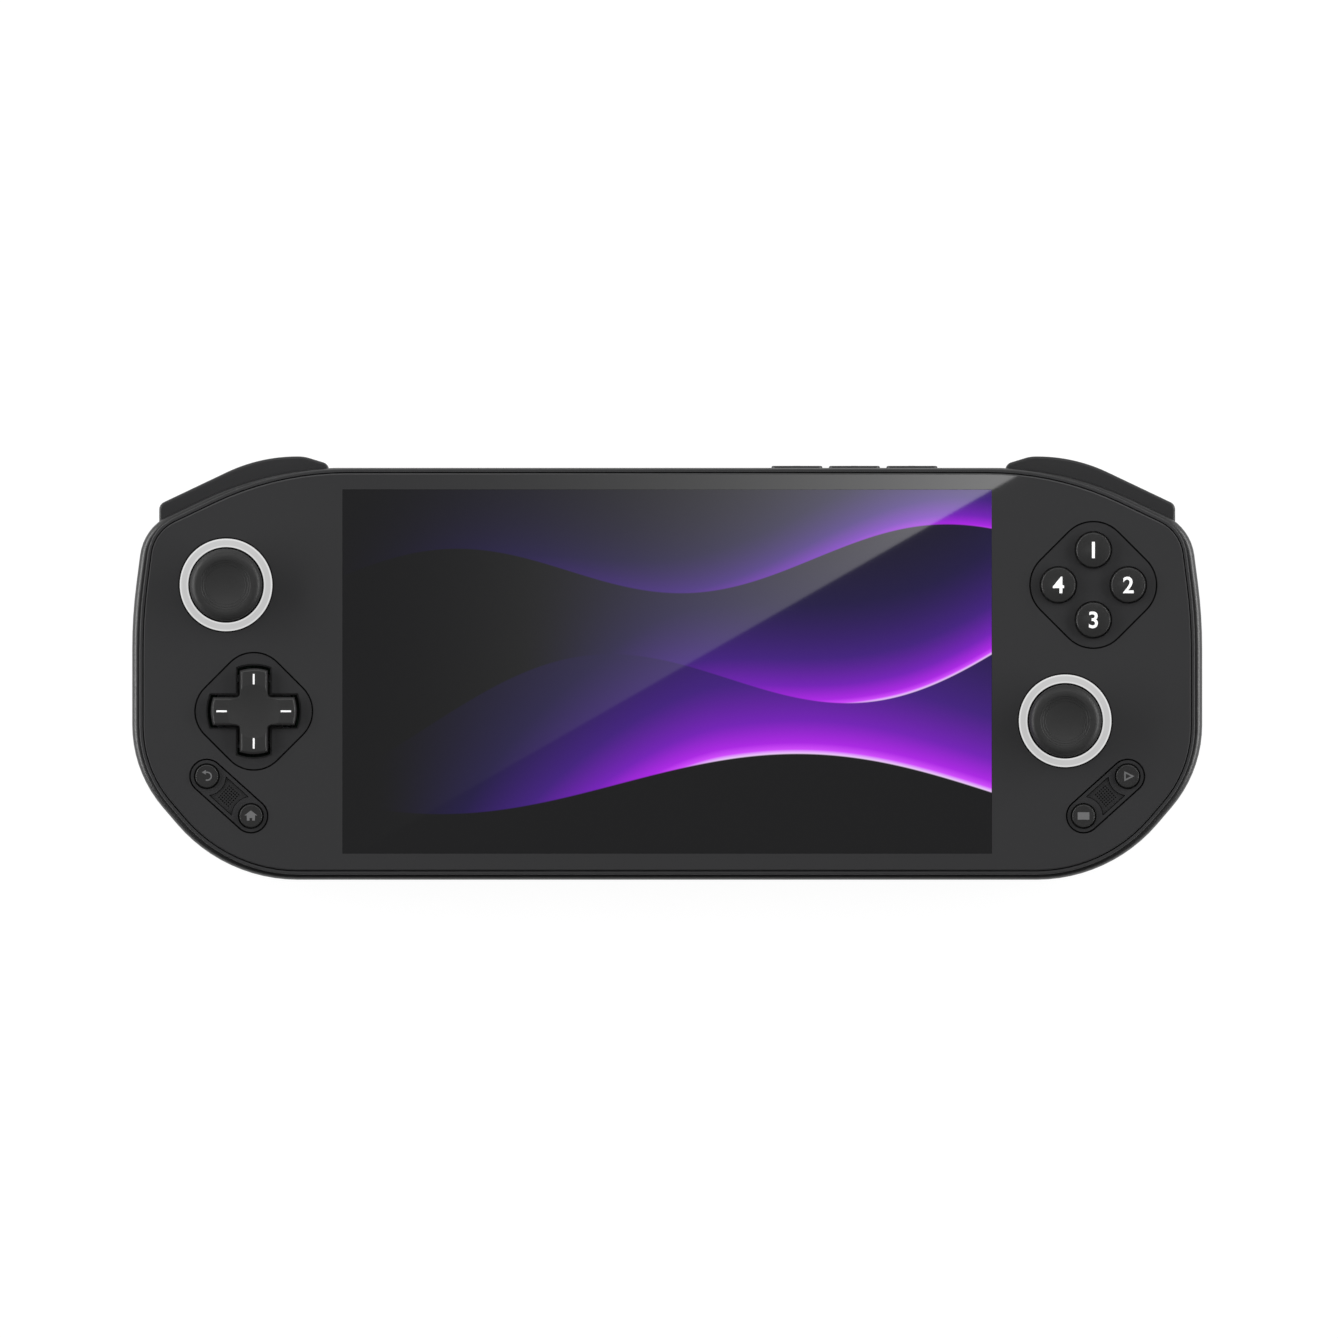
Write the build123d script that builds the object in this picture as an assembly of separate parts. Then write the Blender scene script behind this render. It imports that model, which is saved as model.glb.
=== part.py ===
from build123d import *
import os
from math import cos, hypot, radians, sqrt, tan

# Handheld game console, lying on the two grips at its back with the screen up.
# Millimetres. +X runs to the right of the screen, +Y towards the edge with the bumpers,
# +Z out of the screen. Heights start at the plane that the grips rest on.
# The origin is under the middle of the outline, bumpers included.

# Case
case_width = 209.9
case_height = 80.8
control_band = 41.3  # from the picture area to the case side
grip_height = 3.0  # how far the rear cover's back stands off the table
rear_depth = 11.5  # rear cover, from its back to the seam
rim_height = 4.3  # front cover, from the seam to its rim
panel_proud = 0.2  # the panel's face above the rim
panel_thickness = 1.2
deck_thickness = 1.2  # the front cover's floor, under the panel
rear_wall = 2.2
rear_floor = 1.6
back_edge_radius = 5.5
seam_edge_radius = 1.4
lip_clearance = 0.15  # front cover's lip inside the rear wall
lip_thickness = 0.8
lip_depth = 1.2
rim_inset_top = 0.25
rim_inset_side = 1.5
rim_inset_bottom = 1.05
rim_width = 0.6
rim_edge_radius = 0.25
panel_gap = 0.2  # between the rim and the panel
panel_edge_radius = 0.3
plate_gap = 0.3  # between the panel and the plates let into it
least_corner = 1.0
overrun = 2.0  # how far a cut runs past what it cuts
running_gap = 0.3  # between a moving piece and its opening

# Corners of the right half of the outline, as shares of half the width and half the height,
# with their radii as shares of the height and how much of a side each round may take.
corner_shares = ((0.7442, 1.0), (0.9786, 0.7104), (1.0, 0.2822), (1.0, -0.4752), (0.8271, -1.0))
corner_radius_shares = (0.767, 0.124, 1.238, 0.309, 0.384)
corner_reach_shares = (0.58, 0.4, 0.4, 0.4, 0.58)

# Places in a control band: share of the band in from the case side, share of half the height up.
left_stick_shares = (0.4472, 0.4314)
right_stick_shares = (0.6521, -0.2282)
dpad_shares = (0.5789, -0.1819)
face_shares = (0.5186, 0.4312)
pill_shares = (0.4605, -0.5933)
screw_shares = ((0.266, 0.025), (0.823, -0.755), (0.847, 0.619))
standoff_shares = ((0.847, 0.124), (0.168, -0.2475))

# Display
screen_margin_top = 4.26
screen_margin_bottom = 5.16
glass_gap = 0.05
lcd_thickness = 2.2
lcd_border_side = 1.6
lcd_border_end = 0.5
lcd_gap = 0.25
frame_plate = 0.8
frame_wall = 1.2

# Screws of the case
screw_radius = 1.0
screw_head_radius = 1.9
screw_head_height = 1.2
screw_clearance = 0.15
screw_pilot_gap = 0.05
screw_head_depth = 1.4  # head seat above the back
screw_bite = 2.6  # shank inside the front boss
rear_boss_radius = 2.6
front_boss_radius = 2.2
socket_width = 1.3  # across the flats of the drive recess
socket_depth = 0.7

# Control boards, held under the deck
standoff_height = 3.6
standoff_radius = 1.3
control_board_thickness = 1.0
control_board_gap = 0.5
control_board_top_share = 0.649
control_board_bottom_share = -0.767
notch_share = 0.5  # bosses further in than this leave a notch, not a hole
membrane_sheet = 0.6
membrane_gap = 0.05

# Thumb sticks
stick_cap_radius = 7.05
stick_rise = 5.4  # cap above the panel's face
stick_rim = 2.4
stick_cone = 1.4
stick_edge_radius = 1.5
stick_under_radius = 0.35
stick_dish_radius = 5.1
stick_dish_depth = 0.8
stick_dish_round = 1.2  # where the dish meets the rim
stick_stem_radius = 2.8
stick_dome_radius = 6.4
stick_dome_wall = 0.7
stick_dome_angle = 60  # degrees from the top of the dome to its edge
stick_shaft_radius = 1.5
stick_shaft_entry = 0.6  # shaft above the underside of the rim
stick_hub_radius = 2.2
stick_hub_half = 2.0
stick_cross_pin_radius = 0.7
stick_cross_pin_half = 3.8
trunnion_radius = 0.8
trunnion_length = 1.0
bearing_gap = 0.05
yoke_width = 10.4
yoke_depth = 8.0
yoke_thickness = 2.6
yoke_window_width = 7.2
yoke_window_depth = 5.0
carrier_gap = 0.2
carrier_wall = 1.0
carrier_floor = 0.8
stick_click = 0.4
stick_click_gap = 0.1
stick_base_wall = 1.2
stick_base_floor = 1.0
stick_base_rise = 1.0  # above the control board
stick_floor_gap = 1.0  # under the base
stick_pivot_height = 5.0  # above the base's underside
stick_ear = 1.0
stick_board_gap = 0.3
ring_inner_radius = 7.43
ring_outer_radius = 9.07
ring_gap = 0.3
ring_edge_radius = 0.3
ring_seat = 0.17  # deck hole outside the ring's bore

# Directional pad
dpad_reach = 8.43
dpad_arm_width = 5.53
dpad_rise = 1.6
dpad_edge_radius = 0.6
dpad_inner_radius = 0.7
dpad_dish_radius = 5.2
dpad_dish_depth = 0.35
dpad_channel_gap = 0.9
dpad_channel_side_gap = 0.76
dpad_ledge = 0.2
dpad_step_width = 0.3  # step inside the plate's opening
dpad_step_drop = 0.5
dpad_flange_radius = 6.5
dpad_flange_thickness = 0.8
dpad_flange_gap = 0.9
dpad_pivot_drop = 0.4  # pivot under the flange
dpad_ball_radius = 1.1
dpad_post_radius = 1.5
dpad_post_drop = 0.4  # post's rim under the pivot
dpad_dome_radius = 1.7
dpad_dome_pitch = 4.4
dpad_plate_half = 9.9
dpad_plate_corner = 6.35

# Face buttons
face_pitch = 6.85
face_cap_radius = 3.4
face_hole_radius = 3.7
face_rise = 1.4
face_crown = 0.3
face_edge_radius = 0.25
flange_width = 1.0
flange_thickness = 0.8
flange_gap = 0.2
face_plate_half = 10.65
face_plate_corner = 6.74
face_dome_radius = 2.6
face_sheet_half = 9.0
face_sheet_corner = 4.0

# Pills with two small buttons and a speaker grille each
pill_angle = 42.0
pill_half_pitch = 5.82
pill_half_width = 3.15
small_cap_radius = 2.25
small_hole_radius = 2.55
small_rise = 0.6
small_edge_radius = 0.2
small_flange_width = 0.6
small_dome_radius = 1.6
grille_half_width = 2.37
grille_clear_radius = 3.84
grille_gap = 0.12
grille_drop = 0.25
grille_hole_radius = 0.14
grille_pitch = 0.5
duct_half_length = 1.6
duct_half_width = 1.9
duct_gap = 0.15
duct_wall = 0.4
speaker_length = 13.0
speaker_width = 9.0
speaker_height = 5.8
speaker_corner = 1.5
duct_root = 0.8  # duct inside the speaker box

# Bumpers and triggers, on a common pin at their inner ends
shoulder_start_share = 0.9346  # inner end, share of the control band in from the case side
shoulder_end_share = 0.1283
shoulder_low_share = 0.713  # lower end, share of half the height up
bumper_proud = 2.8
bumper_proud_top = 2.25  # at its inner end
trigger_setback = 0.5  # behind the bumper's outline
bumper_height = 3.6
shoulder_gap = 0.4
shoulder_depth = 1.0  # behind the rear wall
shoulder_round = 1.6
shoulder_taper = 4.9  # inner end, where it slopes down to the case
shoulder_taper_drop = 1.5
shoulder_taper_round = 7.0
shoulder_bend_share = 0.95
bumper_edge_radius = 0.5
trigger_edge_radius = 1.5
trigger_travel = 2.6  # at its outer end
shoulder_pin_share = 0.872
shoulder_pin_inset = 4.9
shoulder_pin_radius = 0.75
shoulder_eye_radius = 2.2
shoulder_pin_seat = 1.0
shoulder_pin_top = 1.5
shoulder_boss_radius = 1.7

# Power and volume buttons on the top edge
top_button_count = 3
top_button_middle_share = 0.35
top_button_pitch = 11.28
top_button_width = 10.0
top_button_height = 2.6
top_button_proud = 0.4
top_button_corner = 1.0
top_button_round = 0.3
top_button_drop = 3.6  # middle of the buttons under the seam
top_button_gap = 0.12
top_button_flange = 0.6
top_button_flange_thickness = 0.7
top_button_travel = 0.3
top_switch_width = 3.2
top_switch_height = 2.2
top_switch_depth = 0.8
top_board_thickness = 0.8
top_board_end = 3.0
top_board_stand = 0.5  # lower edge above the floor

# Main board, shield, ports and battery
main_board_rise = 2.0
main_board_thickness = 1.0
main_board_gap = 0.5
main_board_half_share = 0.543
main_board_top_share = -0.1
main_post_radius = 1.6
main_post_inset = 4.0
shield_length = 42.0
shield_height = 2.2
shield_edge_radius = 0.4
shield_inset = 3.0  # from the board's upper edge
shield_gap = 0.8  # from the sockets
port_setback = 0.3  # mouths behind the outer wall
usb_width = 8.94
usb_height = 3.16
usb_depth = 7.3
usb_wall = 0.3
usb_back = 0.6
usb_tongue_width = 6.7
usb_tongue_thickness = 0.7
usb_tongue_length = 4.4
port_gap = 0.15
jack_share = 0.286  # jack and card slot off the middle, share of half the width
jack_width = 6.4
jack_height = 4.4
jack_depth = 12.5
jack_nose_radius = 2.15
jack_nose_length = 3.2
jack_nose_root = 1.5  # nose inside the body
jack_gap = 0.3  # between the nose and the case
jack_bore_radius = 1.8
jack_bore_depth = 11.0
card_width = 12.6
card_height = 1.7
card_depth = 13.5
card_wall = 0.25
battery_half_share = 0.476
battery_thickness = 6.0
battery_gap = 0.6
battery_edge_radius = 1.2

# Vents in the back
vent_count = 11
vent_pitch = 3.0
vent_width = 1.3
vent_length = 13.0
vent_middle_share = -0.54

# Grips
grip_inset = 6.6
grip_start_share = 0.726
grip_top_share = 0.4
grip_corner = 5.0
grip_edge_radius = 2.2
grip_hole_radius = 2.5

# Heights and half sizes that follow from the sizes above
half_width = case_width / 2
half_height = case_height / 2
back_z = grip_height
floor_z = back_z + rear_floor
seam_z = back_z + rear_depth
rim_z = seam_z + rim_height
face_z = rim_z + panel_proud
deck_top = face_z - panel_thickness
deck_bottom = deck_top - deck_thickness
board_top = deck_bottom - standoff_height
board_bottom = board_top - control_board_thickness
lip_bottom = seam_z - lip_depth
lip_inset = rear_wall + lip_clearance
cavity_inset = lip_inset + lip_thickness
screen_half = half_width - control_band
screen_top = half_height - screen_margin_top
screen_bottom = screen_margin_bottom - half_height
lcd_half = screen_half + lcd_border_side
frame_half = lcd_half + lcd_gap + frame_wall
flange_top = deck_bottom - flange_gap
flange_bottom = flange_top - flange_thickness
bumper_top = lip_bottom - running_gap
bumper_bottom = bumper_top - bumper_height
trigger_top = bumper_bottom - shoulder_gap
trigger_bottom = floor_z + running_gap
stick_base_bottom = floor_z + stick_floor_gap
stick_pivot_z = stick_base_bottom + stick_pivot_height
dpad_flange_bottom = deck_bottom - dpad_flange_gap - dpad_flange_thickness
dpad_pivot_z = dpad_flange_bottom - dpad_pivot_drop
main_board_bottom = floor_z + main_board_rise
main_board_top = main_board_bottom + main_board_thickness
carrier_half = yoke_width / 2 + carrier_gap + carrier_wall
stick_base_half = carrier_half + carrier_gap + stick_base_wall
stick_ear_half = stick_base_half + stick_board_gap + stick_ear
origin_shift = bumper_proud_top / 2


def moved_sides(insets):
    """The right half's six sides, top to bottom, each drawn in by its own inset, as a*x + b*y = c."""
    right = [(half_width * x, half_height * y) for x, y in corner_shares]
    chain = [(-right[0][0], right[0][1]), *right, (-right[-1][0], right[-1][1])]
    sides = []
    for (x0, y0), (x1, y1), inset in zip(chain, chain[1:], insets):
        length = hypot(x1 - x0, y1 - y0)
        across, up = (y1 - y0) / length, (x0 - x1) / length
        sides.append((across, up, across * x0 + up * y0 + inset))
    return sides


def crossing(first, second):
    """The point where two sides meet."""
    (a0, b0, c0), (a1, b1, c1) = first, second
    spread = a0 * b1 - a1 * b0
    return (c0 * b1 - c1 * b0) / spread, (a0 * c1 - a1 * c0) / spread


def half_turn(first, second):
    """Half the angle between two sides, in degrees."""
    return Vector(*first[:2]).get_angle(Vector(*second[:2])) / 2


def outline(top, side, bottom):
    """The case outline as a face, each of its sides drawn in by its own inset."""
    insets = (top, (top + side) / 2, side, side, (side + bottom) / 2, bottom)
    sides = moved_sides(insets)
    corners = [crossing(*pair) for pair in zip(sides, sides[1:])]
    ends = [(0, corners[0][1]), *corners, (0, corners[-1][1])]
    radii = []
    for i, share in enumerate(corner_radius_shares):
        room = min(hypot(ends[i + 1][0] - x, ends[i + 1][1] - y) for x, y in (ends[i], ends[i + 2]))
        wanted = share * case_height - (insets[i] + insets[i + 1]) / 2
        reach = corner_reach_shares[i] * room / tan(radians(half_turn(sides[i], sides[i + 1])))
        radii.append(min(max(wanted, least_corner), reach))
    points = corners + [(-x, y) for x, y in reversed(corners)]
    return make_face(FilletPolyline(*points, radius=radii + radii[::-1], close=True))


def even_outline(inset):
    """The case outline drawn in by the same inset all round."""
    return outline(inset, inset, inset)


def rim_outline(inset):
    """The front cover's outline drawn in by the same inset all round."""
    return outline(rim_inset_top + inset, rim_inset_side + inset, rim_inset_bottom + inset)


def slab(face, bottom, top):
    """A flat face carried from one height to another."""
    return extrude(Pos(0, 0, bottom) * face, top - bottom)


def block(x0, x1, y0, y1, z0, z1):
    """A box between two corners."""
    box = Box(x1 - x0, y1 - y0, z1 - z0, align=(Align.MIN, Align.MIN, Align.MIN))
    return Pos(x0, y0, z0) * box


def post(x, y, radius, bottom, top):
    """An upright cylinder."""
    rod = Cylinder(radius, top - bottom, align=(Align.CENTER, Align.CENTER, Align.MIN))
    return Pos(x, y, bottom) * rod


def rod_along_x(radius, x0, x1):
    """A cylinder along X through the origin's height."""
    return Pos((x0 + x1) / 2, 0, 0) * Rot(0, 90, 0) * Cylinder(radius, x1 - x0)


def rod_along_y(radius, y0, y1):
    """A cylinder along Y through the origin's height."""
    return Pos(0, (y0 + y1) / 2, 0) * Rot(90, 0, 0) * Cylinder(radius, y1 - y0)


def place(side, shares):
    """A spot in a control band, -1 for the left band and 1 for the right one."""
    return side * (half_width - control_band * shares[0]), half_height * shares[1]


def both_sides(table):
    """The places of a table of shares in both control bands."""
    return [place(side, shares) for side in (-1, 1) for shares in table]


def edges_at(body, level):
    """The edges of the lowest face (level 0) or the highest one (level -1)."""
    return body.edges().group_by(Axis.Z)[level]


def dpad_place():
    """Centre of the directional pad."""
    return place(-1, dpad_shares)


def face_places():
    """Centres of the four face buttons: top, right, bottom, left."""
    x, y = place(1, face_shares)
    return {
        "top": (x, y + face_pitch),
        "right": (x + face_pitch, y),
        "bottom": (x, y - face_pitch),
        "left": (x - face_pitch, y),
    }


def pill_frame(side):
    """Where a pill lies: its length along the frame's X, its outer end at plus X."""
    x, y = place(side, pill_shares)
    turn = pill_angle if side > 0 else 180 - pill_angle
    return Pos(x, y, 0) * Rot(0, 0, turn)


def pill_slot(half_breadth):
    """The pill's outline about its middle."""
    return SlotCenterToCenter(2 * pill_half_pitch, 2 * half_breadth)


def small_disc_pair(radius):
    """Two discs at the places of a pill's buttons."""
    return [Pos(end * pill_half_pitch, 0, 0) * Circle(radius) for end in (-1, 1)]


def plate_square(half, corner):
    """A rounded square standing on its corner."""
    return Rot(0, 0, 45) * RectangleRounded(2 * half, 2 * half, corner)


def cross(reach, width):
    """A cross of two bars with their ends rounded about the middle."""
    bars = Rectangle(2 * reach, width) + Rectangle(width, 2 * reach)
    return bars & Circle(reach)


def dpad_channel(inset):
    """The opening about the directional pad, drawn in by an inset."""
    width = dpad_arm_width + 2 * dpad_channel_side_gap
    return cross(dpad_reach + dpad_channel_gap - inset, width - 2 * inset)


def grille_shape(gap):
    """The speaker field between a pill's two buttons."""
    hollow = sqrt(grille_clear_radius**2 - grille_half_width**2)
    half_length = pill_half_pitch - hollow
    field = Rectangle(2 * half_length + 2 * gap, 2 * grille_half_width + 2 * gap)
    for disc in small_disc_pair(grille_clear_radius - gap):
        field -= disc
    return field


def shoulder_span():
    """Inner end, outer end and lower end of the right bumper."""
    start = half_width - control_band * shoulder_start_share
    end = half_width - control_band * shoulder_end_share
    return start, end, half_height * shoulder_low_share


def shoulder_pin_place():
    """The pin of the right bumper and trigger."""
    return half_width - control_band * shoulder_pin_share, half_height - shoulder_pin_inset


def grip(side):
    """A rubber grip on the back, with a hole over the screw that it covers."""
    start = half_width - control_band * grip_start_share
    top = half_height * grip_top_share
    field = Pos(start, top, 0) * Rectangle(case_width, case_height, align=(Align.MIN, Align.MAX))
    face = even_outline(grip_inset) & field
    upright = slab(face, 0, back_z)
    corners = upright.edges().filter_by(Axis.Z)
    inner = corners.group_by(Axis.X)[0]
    outer = corners.group_by(Axis.Y)[-1].sort_by(Axis.X)[-1]
    pad = fillet([*inner, outer], grip_corner)
    pad = fillet(edges_at(pad, 0), grip_edge_radius)
    x, y = place(1, screw_shares[0])
    pad -= post(x, y, grip_hole_radius, -overrun, back_z + overrun)
    return pad if side > 0 else mirror(pad, about=Plane.YZ)


def port_places():
    """Middle of the headphone jack and of the card slot along the bottom edge."""
    return -half_width * jack_share, half_width * jack_share


def port_cuts():
    """Openings in the bottom wall for the charging port, the jack and the card."""
    jack_x, card_x = port_places()
    outside = -half_height - overrun
    inside = rear_wall - half_height + overrun
    usb_z = main_board_top + usb_height / 2
    slot = SlotOverall(usb_width + 2 * port_gap, usb_height + 2 * port_gap)
    usb = Pos(0, 0, usb_z) * Rot(90, 0, 0) * slot
    jack_z = main_board_top + jack_height / 2
    jack = Pos(jack_x, 0, jack_z) * Rot(90, 0, 0) * Circle(jack_nose_radius + jack_gap)
    card_half = card_width / 2 + port_gap
    return [
        Pos(0, inside, 0) * extrude(usb, inside - outside),
        Pos(0, inside, 0) * extrude(jack, inside - outside),
        block(
            card_x - card_half,
            card_x + card_half,
            outside,
            inside,
            main_board_top - port_gap,
            main_board_top + card_height + port_gap,
        ),
    ]


def vent_cuts():
    """A row of slots through the back."""
    middle = half_height * vent_middle_share
    slot = SlotOverall(vent_length, vent_width, rotation=90)
    steps = [i - (vent_count - 1) / 2 for i in range(vent_count)]
    return [
        slab(Pos(step * vent_pitch, middle, 0) * slot, back_z - overrun, floor_z + overrun)
        for step in steps
    ]


def shoulder_windows():
    """The openings in the corners of the wall for each bumper and trigger."""
    start, end, low = shoulder_span()
    bottom = low - trigger_travel - running_gap
    window = block(
        start - running_gap,
        end + running_gap,
        bottom,
        half_height + overrun,
        trigger_bottom - running_gap,
        bumper_top + running_gap,
    )
    return [window, mirror(window, about=Plane.YZ)]


def top_button_places():
    """Middles of the buttons on the top edge, along X."""
    middle = half_width * top_button_middle_share
    steps = [i - (top_button_count - 1) / 2 for i in range(top_button_count)]
    return [middle + step * top_button_pitch for step in steps]


def top_button_face(gap):
    """Outline of a top button, standing upright, about its middle."""
    breadth = top_button_width + 2 * gap
    height = top_button_height + 2 * gap
    return Rot(90, 0, 0) * RectangleRounded(breadth, height, top_button_corner + gap)


def top_button_cuts():
    """Openings in the top wall for the power and volume buttons."""
    z = seam_z - top_button_drop
    low = half_height - rear_wall - overrun
    cuts = []
    for x in top_button_places():
        face = Pos(x, half_height + overrun, z) * top_button_face(top_button_gap)
        cuts.append(extrude(face, half_height + overrun - low))
    return cuts


def main_posts():
    """Places of the posts that carry the main board."""
    x = half_width * main_board_half_share - main_post_inset
    upper = half_height * main_board_top_share - main_post_inset
    lower = rear_wall + main_board_gap + main_post_inset + back_edge_radius / 2 - half_height
    return [(side * x, y) for side in (-1, 1) for y in (upper, lower)]


def rear_cover():
    """Rear shell with screw bosses, board posts, vents and every opening in its wall."""
    shell = slab(even_outline(0), back_z, seam_z)
    shell = fillet(edges_at(shell, 0), back_edge_radius)
    shell = fillet(edges_at(shell, -1), seam_edge_radius)
    cavity = slab(even_outline(rear_wall), floor_z, seam_z + overrun)
    shell -= fillet(edges_at(cavity, 0), back_edge_radius - rear_wall)
    root = floor_z - rear_floor / 2
    shell += [post(x, y, rear_boss_radius, root, board_top) for x, y in both_sides(screw_shares)]
    shell += [post(x, y, main_post_radius, root, main_board_bottom) for x, y in main_posts()]
    cuts = port_cuts() + vent_cuts() + shoulder_windows() + top_button_cuts()
    seat = back_z + screw_head_depth
    for x, y in both_sides(screw_shares):
        cuts.append(post(x, y, screw_head_radius + screw_clearance, back_z - overrun, seat))
        cuts.append(post(x, y, screw_radius + screw_clearance, back_z, board_top + overrun))
    pin_x, pin_y = shoulder_pin_place()
    hole = shoulder_pin_radius + bearing_gap
    for side in (-1, 1):
        cuts.append(post(side * pin_x, pin_y, hole, floor_z - shoulder_pin_seat, floor_z + overrun))
    return shell - cuts


def deck_openings():
    """Flat openings in the front cover's deck."""
    faces = []
    lcd_middle = (screen_top + screen_bottom) / 2
    lcd_tall = screen_top - screen_bottom + 2 * lcd_border_end + 2 * lcd_gap
    faces.append(Pos(0, lcd_middle, 0) * Rectangle(2 * lcd_half + 2 * lcd_gap, lcd_tall))
    for side, shares in ((-1, left_stick_shares), (1, right_stick_shares)):
        faces.append(Pos(*place(side, shares)) * Circle(ring_inner_radius + ring_seat))
    faces.append(Pos(*dpad_place()) * dpad_channel(dpad_ledge))
    faces += [Pos(*spot) * Circle(face_hole_radius) for spot in face_places().values()]
    for side in (-1, 1):
        faces += [pill_frame(side) * disc for disc in small_disc_pair(small_hole_radius)]
        faces.append(pill_frame(side) * duct_opening())
    return faces


def front_cover():
    """Front shell: rim, deck, lip, screw bosses and standoffs."""
    body = slab(rim_outline(0), seam_z, rim_z)
    body = fillet(edges_at(body, -1), rim_edge_radius)
    body += slab(even_outline(lip_inset), lip_bottom, deck_bottom)
    body -= slab(even_outline(cavity_inset), lip_bottom - overrun, deck_bottom)
    body -= slab(rim_outline(rim_width), deck_top, rim_z + overrun)
    body -= [slab(face, deck_bottom - overrun, deck_top + overrun) for face in deck_openings()]
    root = deck_bottom + deck_thickness / 2
    body += [post(x, y, front_boss_radius, board_top, root) for x, y in both_sides(screw_shares)]
    body += [post(x, y, standoff_radius, board_top, root) for x, y in both_sides(standoff_shares)]
    pin_x, pin_y = shoulder_pin_place()
    cuts = []
    for side in (-1, 1):
        body += post(side * pin_x, pin_y, shoulder_boss_radius, lip_bottom, root)
        hole = shoulder_pin_radius + bearing_gap
        top = lip_bottom + shoulder_pin_top + bearing_gap
        cuts.append(post(side * pin_x, pin_y, hole, lip_bottom - overrun, top))
    pilot = screw_radius + screw_pilot_gap
    for x, y in both_sides(screw_shares):
        cuts.append(post(x, y, pilot, board_top - overrun, board_top + screw_bite + screw_pilot_gap))
    return body - cuts


def front_panel():
    """The flat panel over the deck, open at the picture area, the plates and the sticks."""
    body = slab(rim_outline(rim_width + panel_gap), deck_top, face_z)
    body = fillet(edges_at(body, -1), panel_edge_radius)
    middle = (screen_top + screen_bottom) / 2
    holes = [Pos(0, middle, 0) * Rectangle(2 * screen_half, screen_top - screen_bottom)]
    for side, shares in ((-1, left_stick_shares), (1, right_stick_shares)):
        holes.append(Pos(*place(side, shares)) * Circle(ring_outer_radius + ring_gap))
    dpad_plate = plate_square(dpad_plate_half + plate_gap, dpad_plate_corner + plate_gap)
    face_plate = plate_square(face_plate_half + plate_gap, face_plate_corner + plate_gap)
    holes.append(Pos(*dpad_place()) * dpad_plate)
    holes.append(Pos(*place(1, face_shares)) * face_plate)
    holes += [pill_frame(side) * pill_slot(pill_half_width + plate_gap) for side in (-1, 1)]
    return body - [slab(hole, deck_top - overrun, face_z + overrun) for hole in holes]


def display_glass():
    """Lens over the picture area, flush with the panel."""
    wide = 2 * screen_half - 2 * glass_gap
    tall = screen_top - screen_bottom - 2 * glass_gap
    middle = (screen_top + screen_bottom) / 2
    return slab(Pos(0, middle, 0) * Rectangle(wide, tall), deck_top, face_z)


def display_panel():
    """Liquid crystal panel in the deck's opening."""
    return block(
        -lcd_half,
        lcd_half,
        screen_bottom - lcd_border_end,
        screen_top + lcd_border_end,
        deck_top - lcd_thickness,
        deck_top,
    )


def display_frame():
    """Metal tray that holds the display up against the deck."""
    low = deck_top - lcd_thickness
    y0 = screen_bottom - lcd_border_end
    y1 = screen_top + lcd_border_end
    tray = block(-frame_half, frame_half, y0, y1, low - frame_plate, deck_bottom)
    inner = lcd_half + lcd_gap
    return tray - block(-inner, inner, y0 - overrun, y1 + overrun, low, deck_bottom + overrun)


def case_screws():
    """Six screws that close the case from the back."""
    seat = back_z + screw_head_depth
    tip = board_top + screw_bite
    screws = []
    for x, y in both_sides(screw_shares):
        head = post(x, y, screw_head_radius, seat - screw_head_height, seat)
        screw = head + post(x, y, screw_radius, seat, tip)
        socket = RegularPolygon(socket_width / 2, 6, major_radius=False)
        low = seat - screw_head_height
        screws.append(screw - slab(Pos(x, y, 0) * socket, low - overrun, low + socket_depth))
    return Compound(screws)


def duct_opening():
    """Clearance round a speaker's duct, about the pill's middle."""
    return Rectangle(2 * duct_half_length + 2 * duct_gap, 2 * duct_half_width + 2 * duct_gap)


def board_notches(side):
    """Room in a control board for the bosses: a hole, or a notch where a boss is near the screen."""
    radius = rear_boss_radius + control_board_gap
    notches = []
    for shares in screw_shares:
        x, y = place(side, shares)
        notches.append(Pos(x, y) * Circle(radius))
        if shares[0] > notch_share:
            inward = Align.MAX if side > 0 else Align.MIN
            notches.append(Pos(x, y) * Rectangle(control_band, 2 * radius, align=(inward, Align.CENTER)))
    return notches


def control_board(side):
    """Board under one control band, with openings for the stick, bosses and speaker duct."""
    inner = frame_half + control_board_gap
    low, high = half_height * control_board_bottom_share, half_height * control_board_top_share
    field = Pos(inner, low, 0) * Rectangle(half_width, high - low, align=(Align.MIN, Align.MIN))
    if side < 0:
        field = mirror(field, about=Plane.YZ)
    face = even_outline(cavity_inset + control_board_gap) & field
    opening = 2 * stick_base_half + 2 * stick_board_gap
    stick = place(side, right_stick_shares if side > 0 else left_stick_shares)
    face -= Pos(*stick) * Rectangle(opening, opening)
    face -= board_notches(side)
    face -= pill_frame(side) * duct_opening()
    board = slab(face, board_bottom, board_top)
    if side < 0:
        x, y = dpad_place()
        middle = board_top - control_board_thickness / 2
        board += post(x, y, dpad_post_radius, middle, dpad_pivot_z - dpad_post_drop)
        board -= Pos(x, y, dpad_pivot_z) * Sphere(dpad_ball_radius + bearing_gap)
    return board


def stick_ring():
    """Light guide round a stick, about its centre."""
    ring = slab(Circle(ring_outer_radius) - Circle(ring_inner_radius), deck_top, face_z)
    return fillet(edges_at(ring, -1), ring_edge_radius)


def stick_base():
    """Open housing of a stick, with an ear all round under the control board."""
    half = stick_base_half
    top = board_top + stick_base_rise
    base = block(-half, half, -half, half, stick_base_bottom, top)
    ear = stick_ear_half
    base += block(-ear, ear, -ear, ear, board_bottom - stick_ear, board_bottom)
    inner = half - stick_base_wall
    return base - block(-inner, inner, -inner, inner, stick_base_bottom + stick_base_floor, top + overrun)


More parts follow.
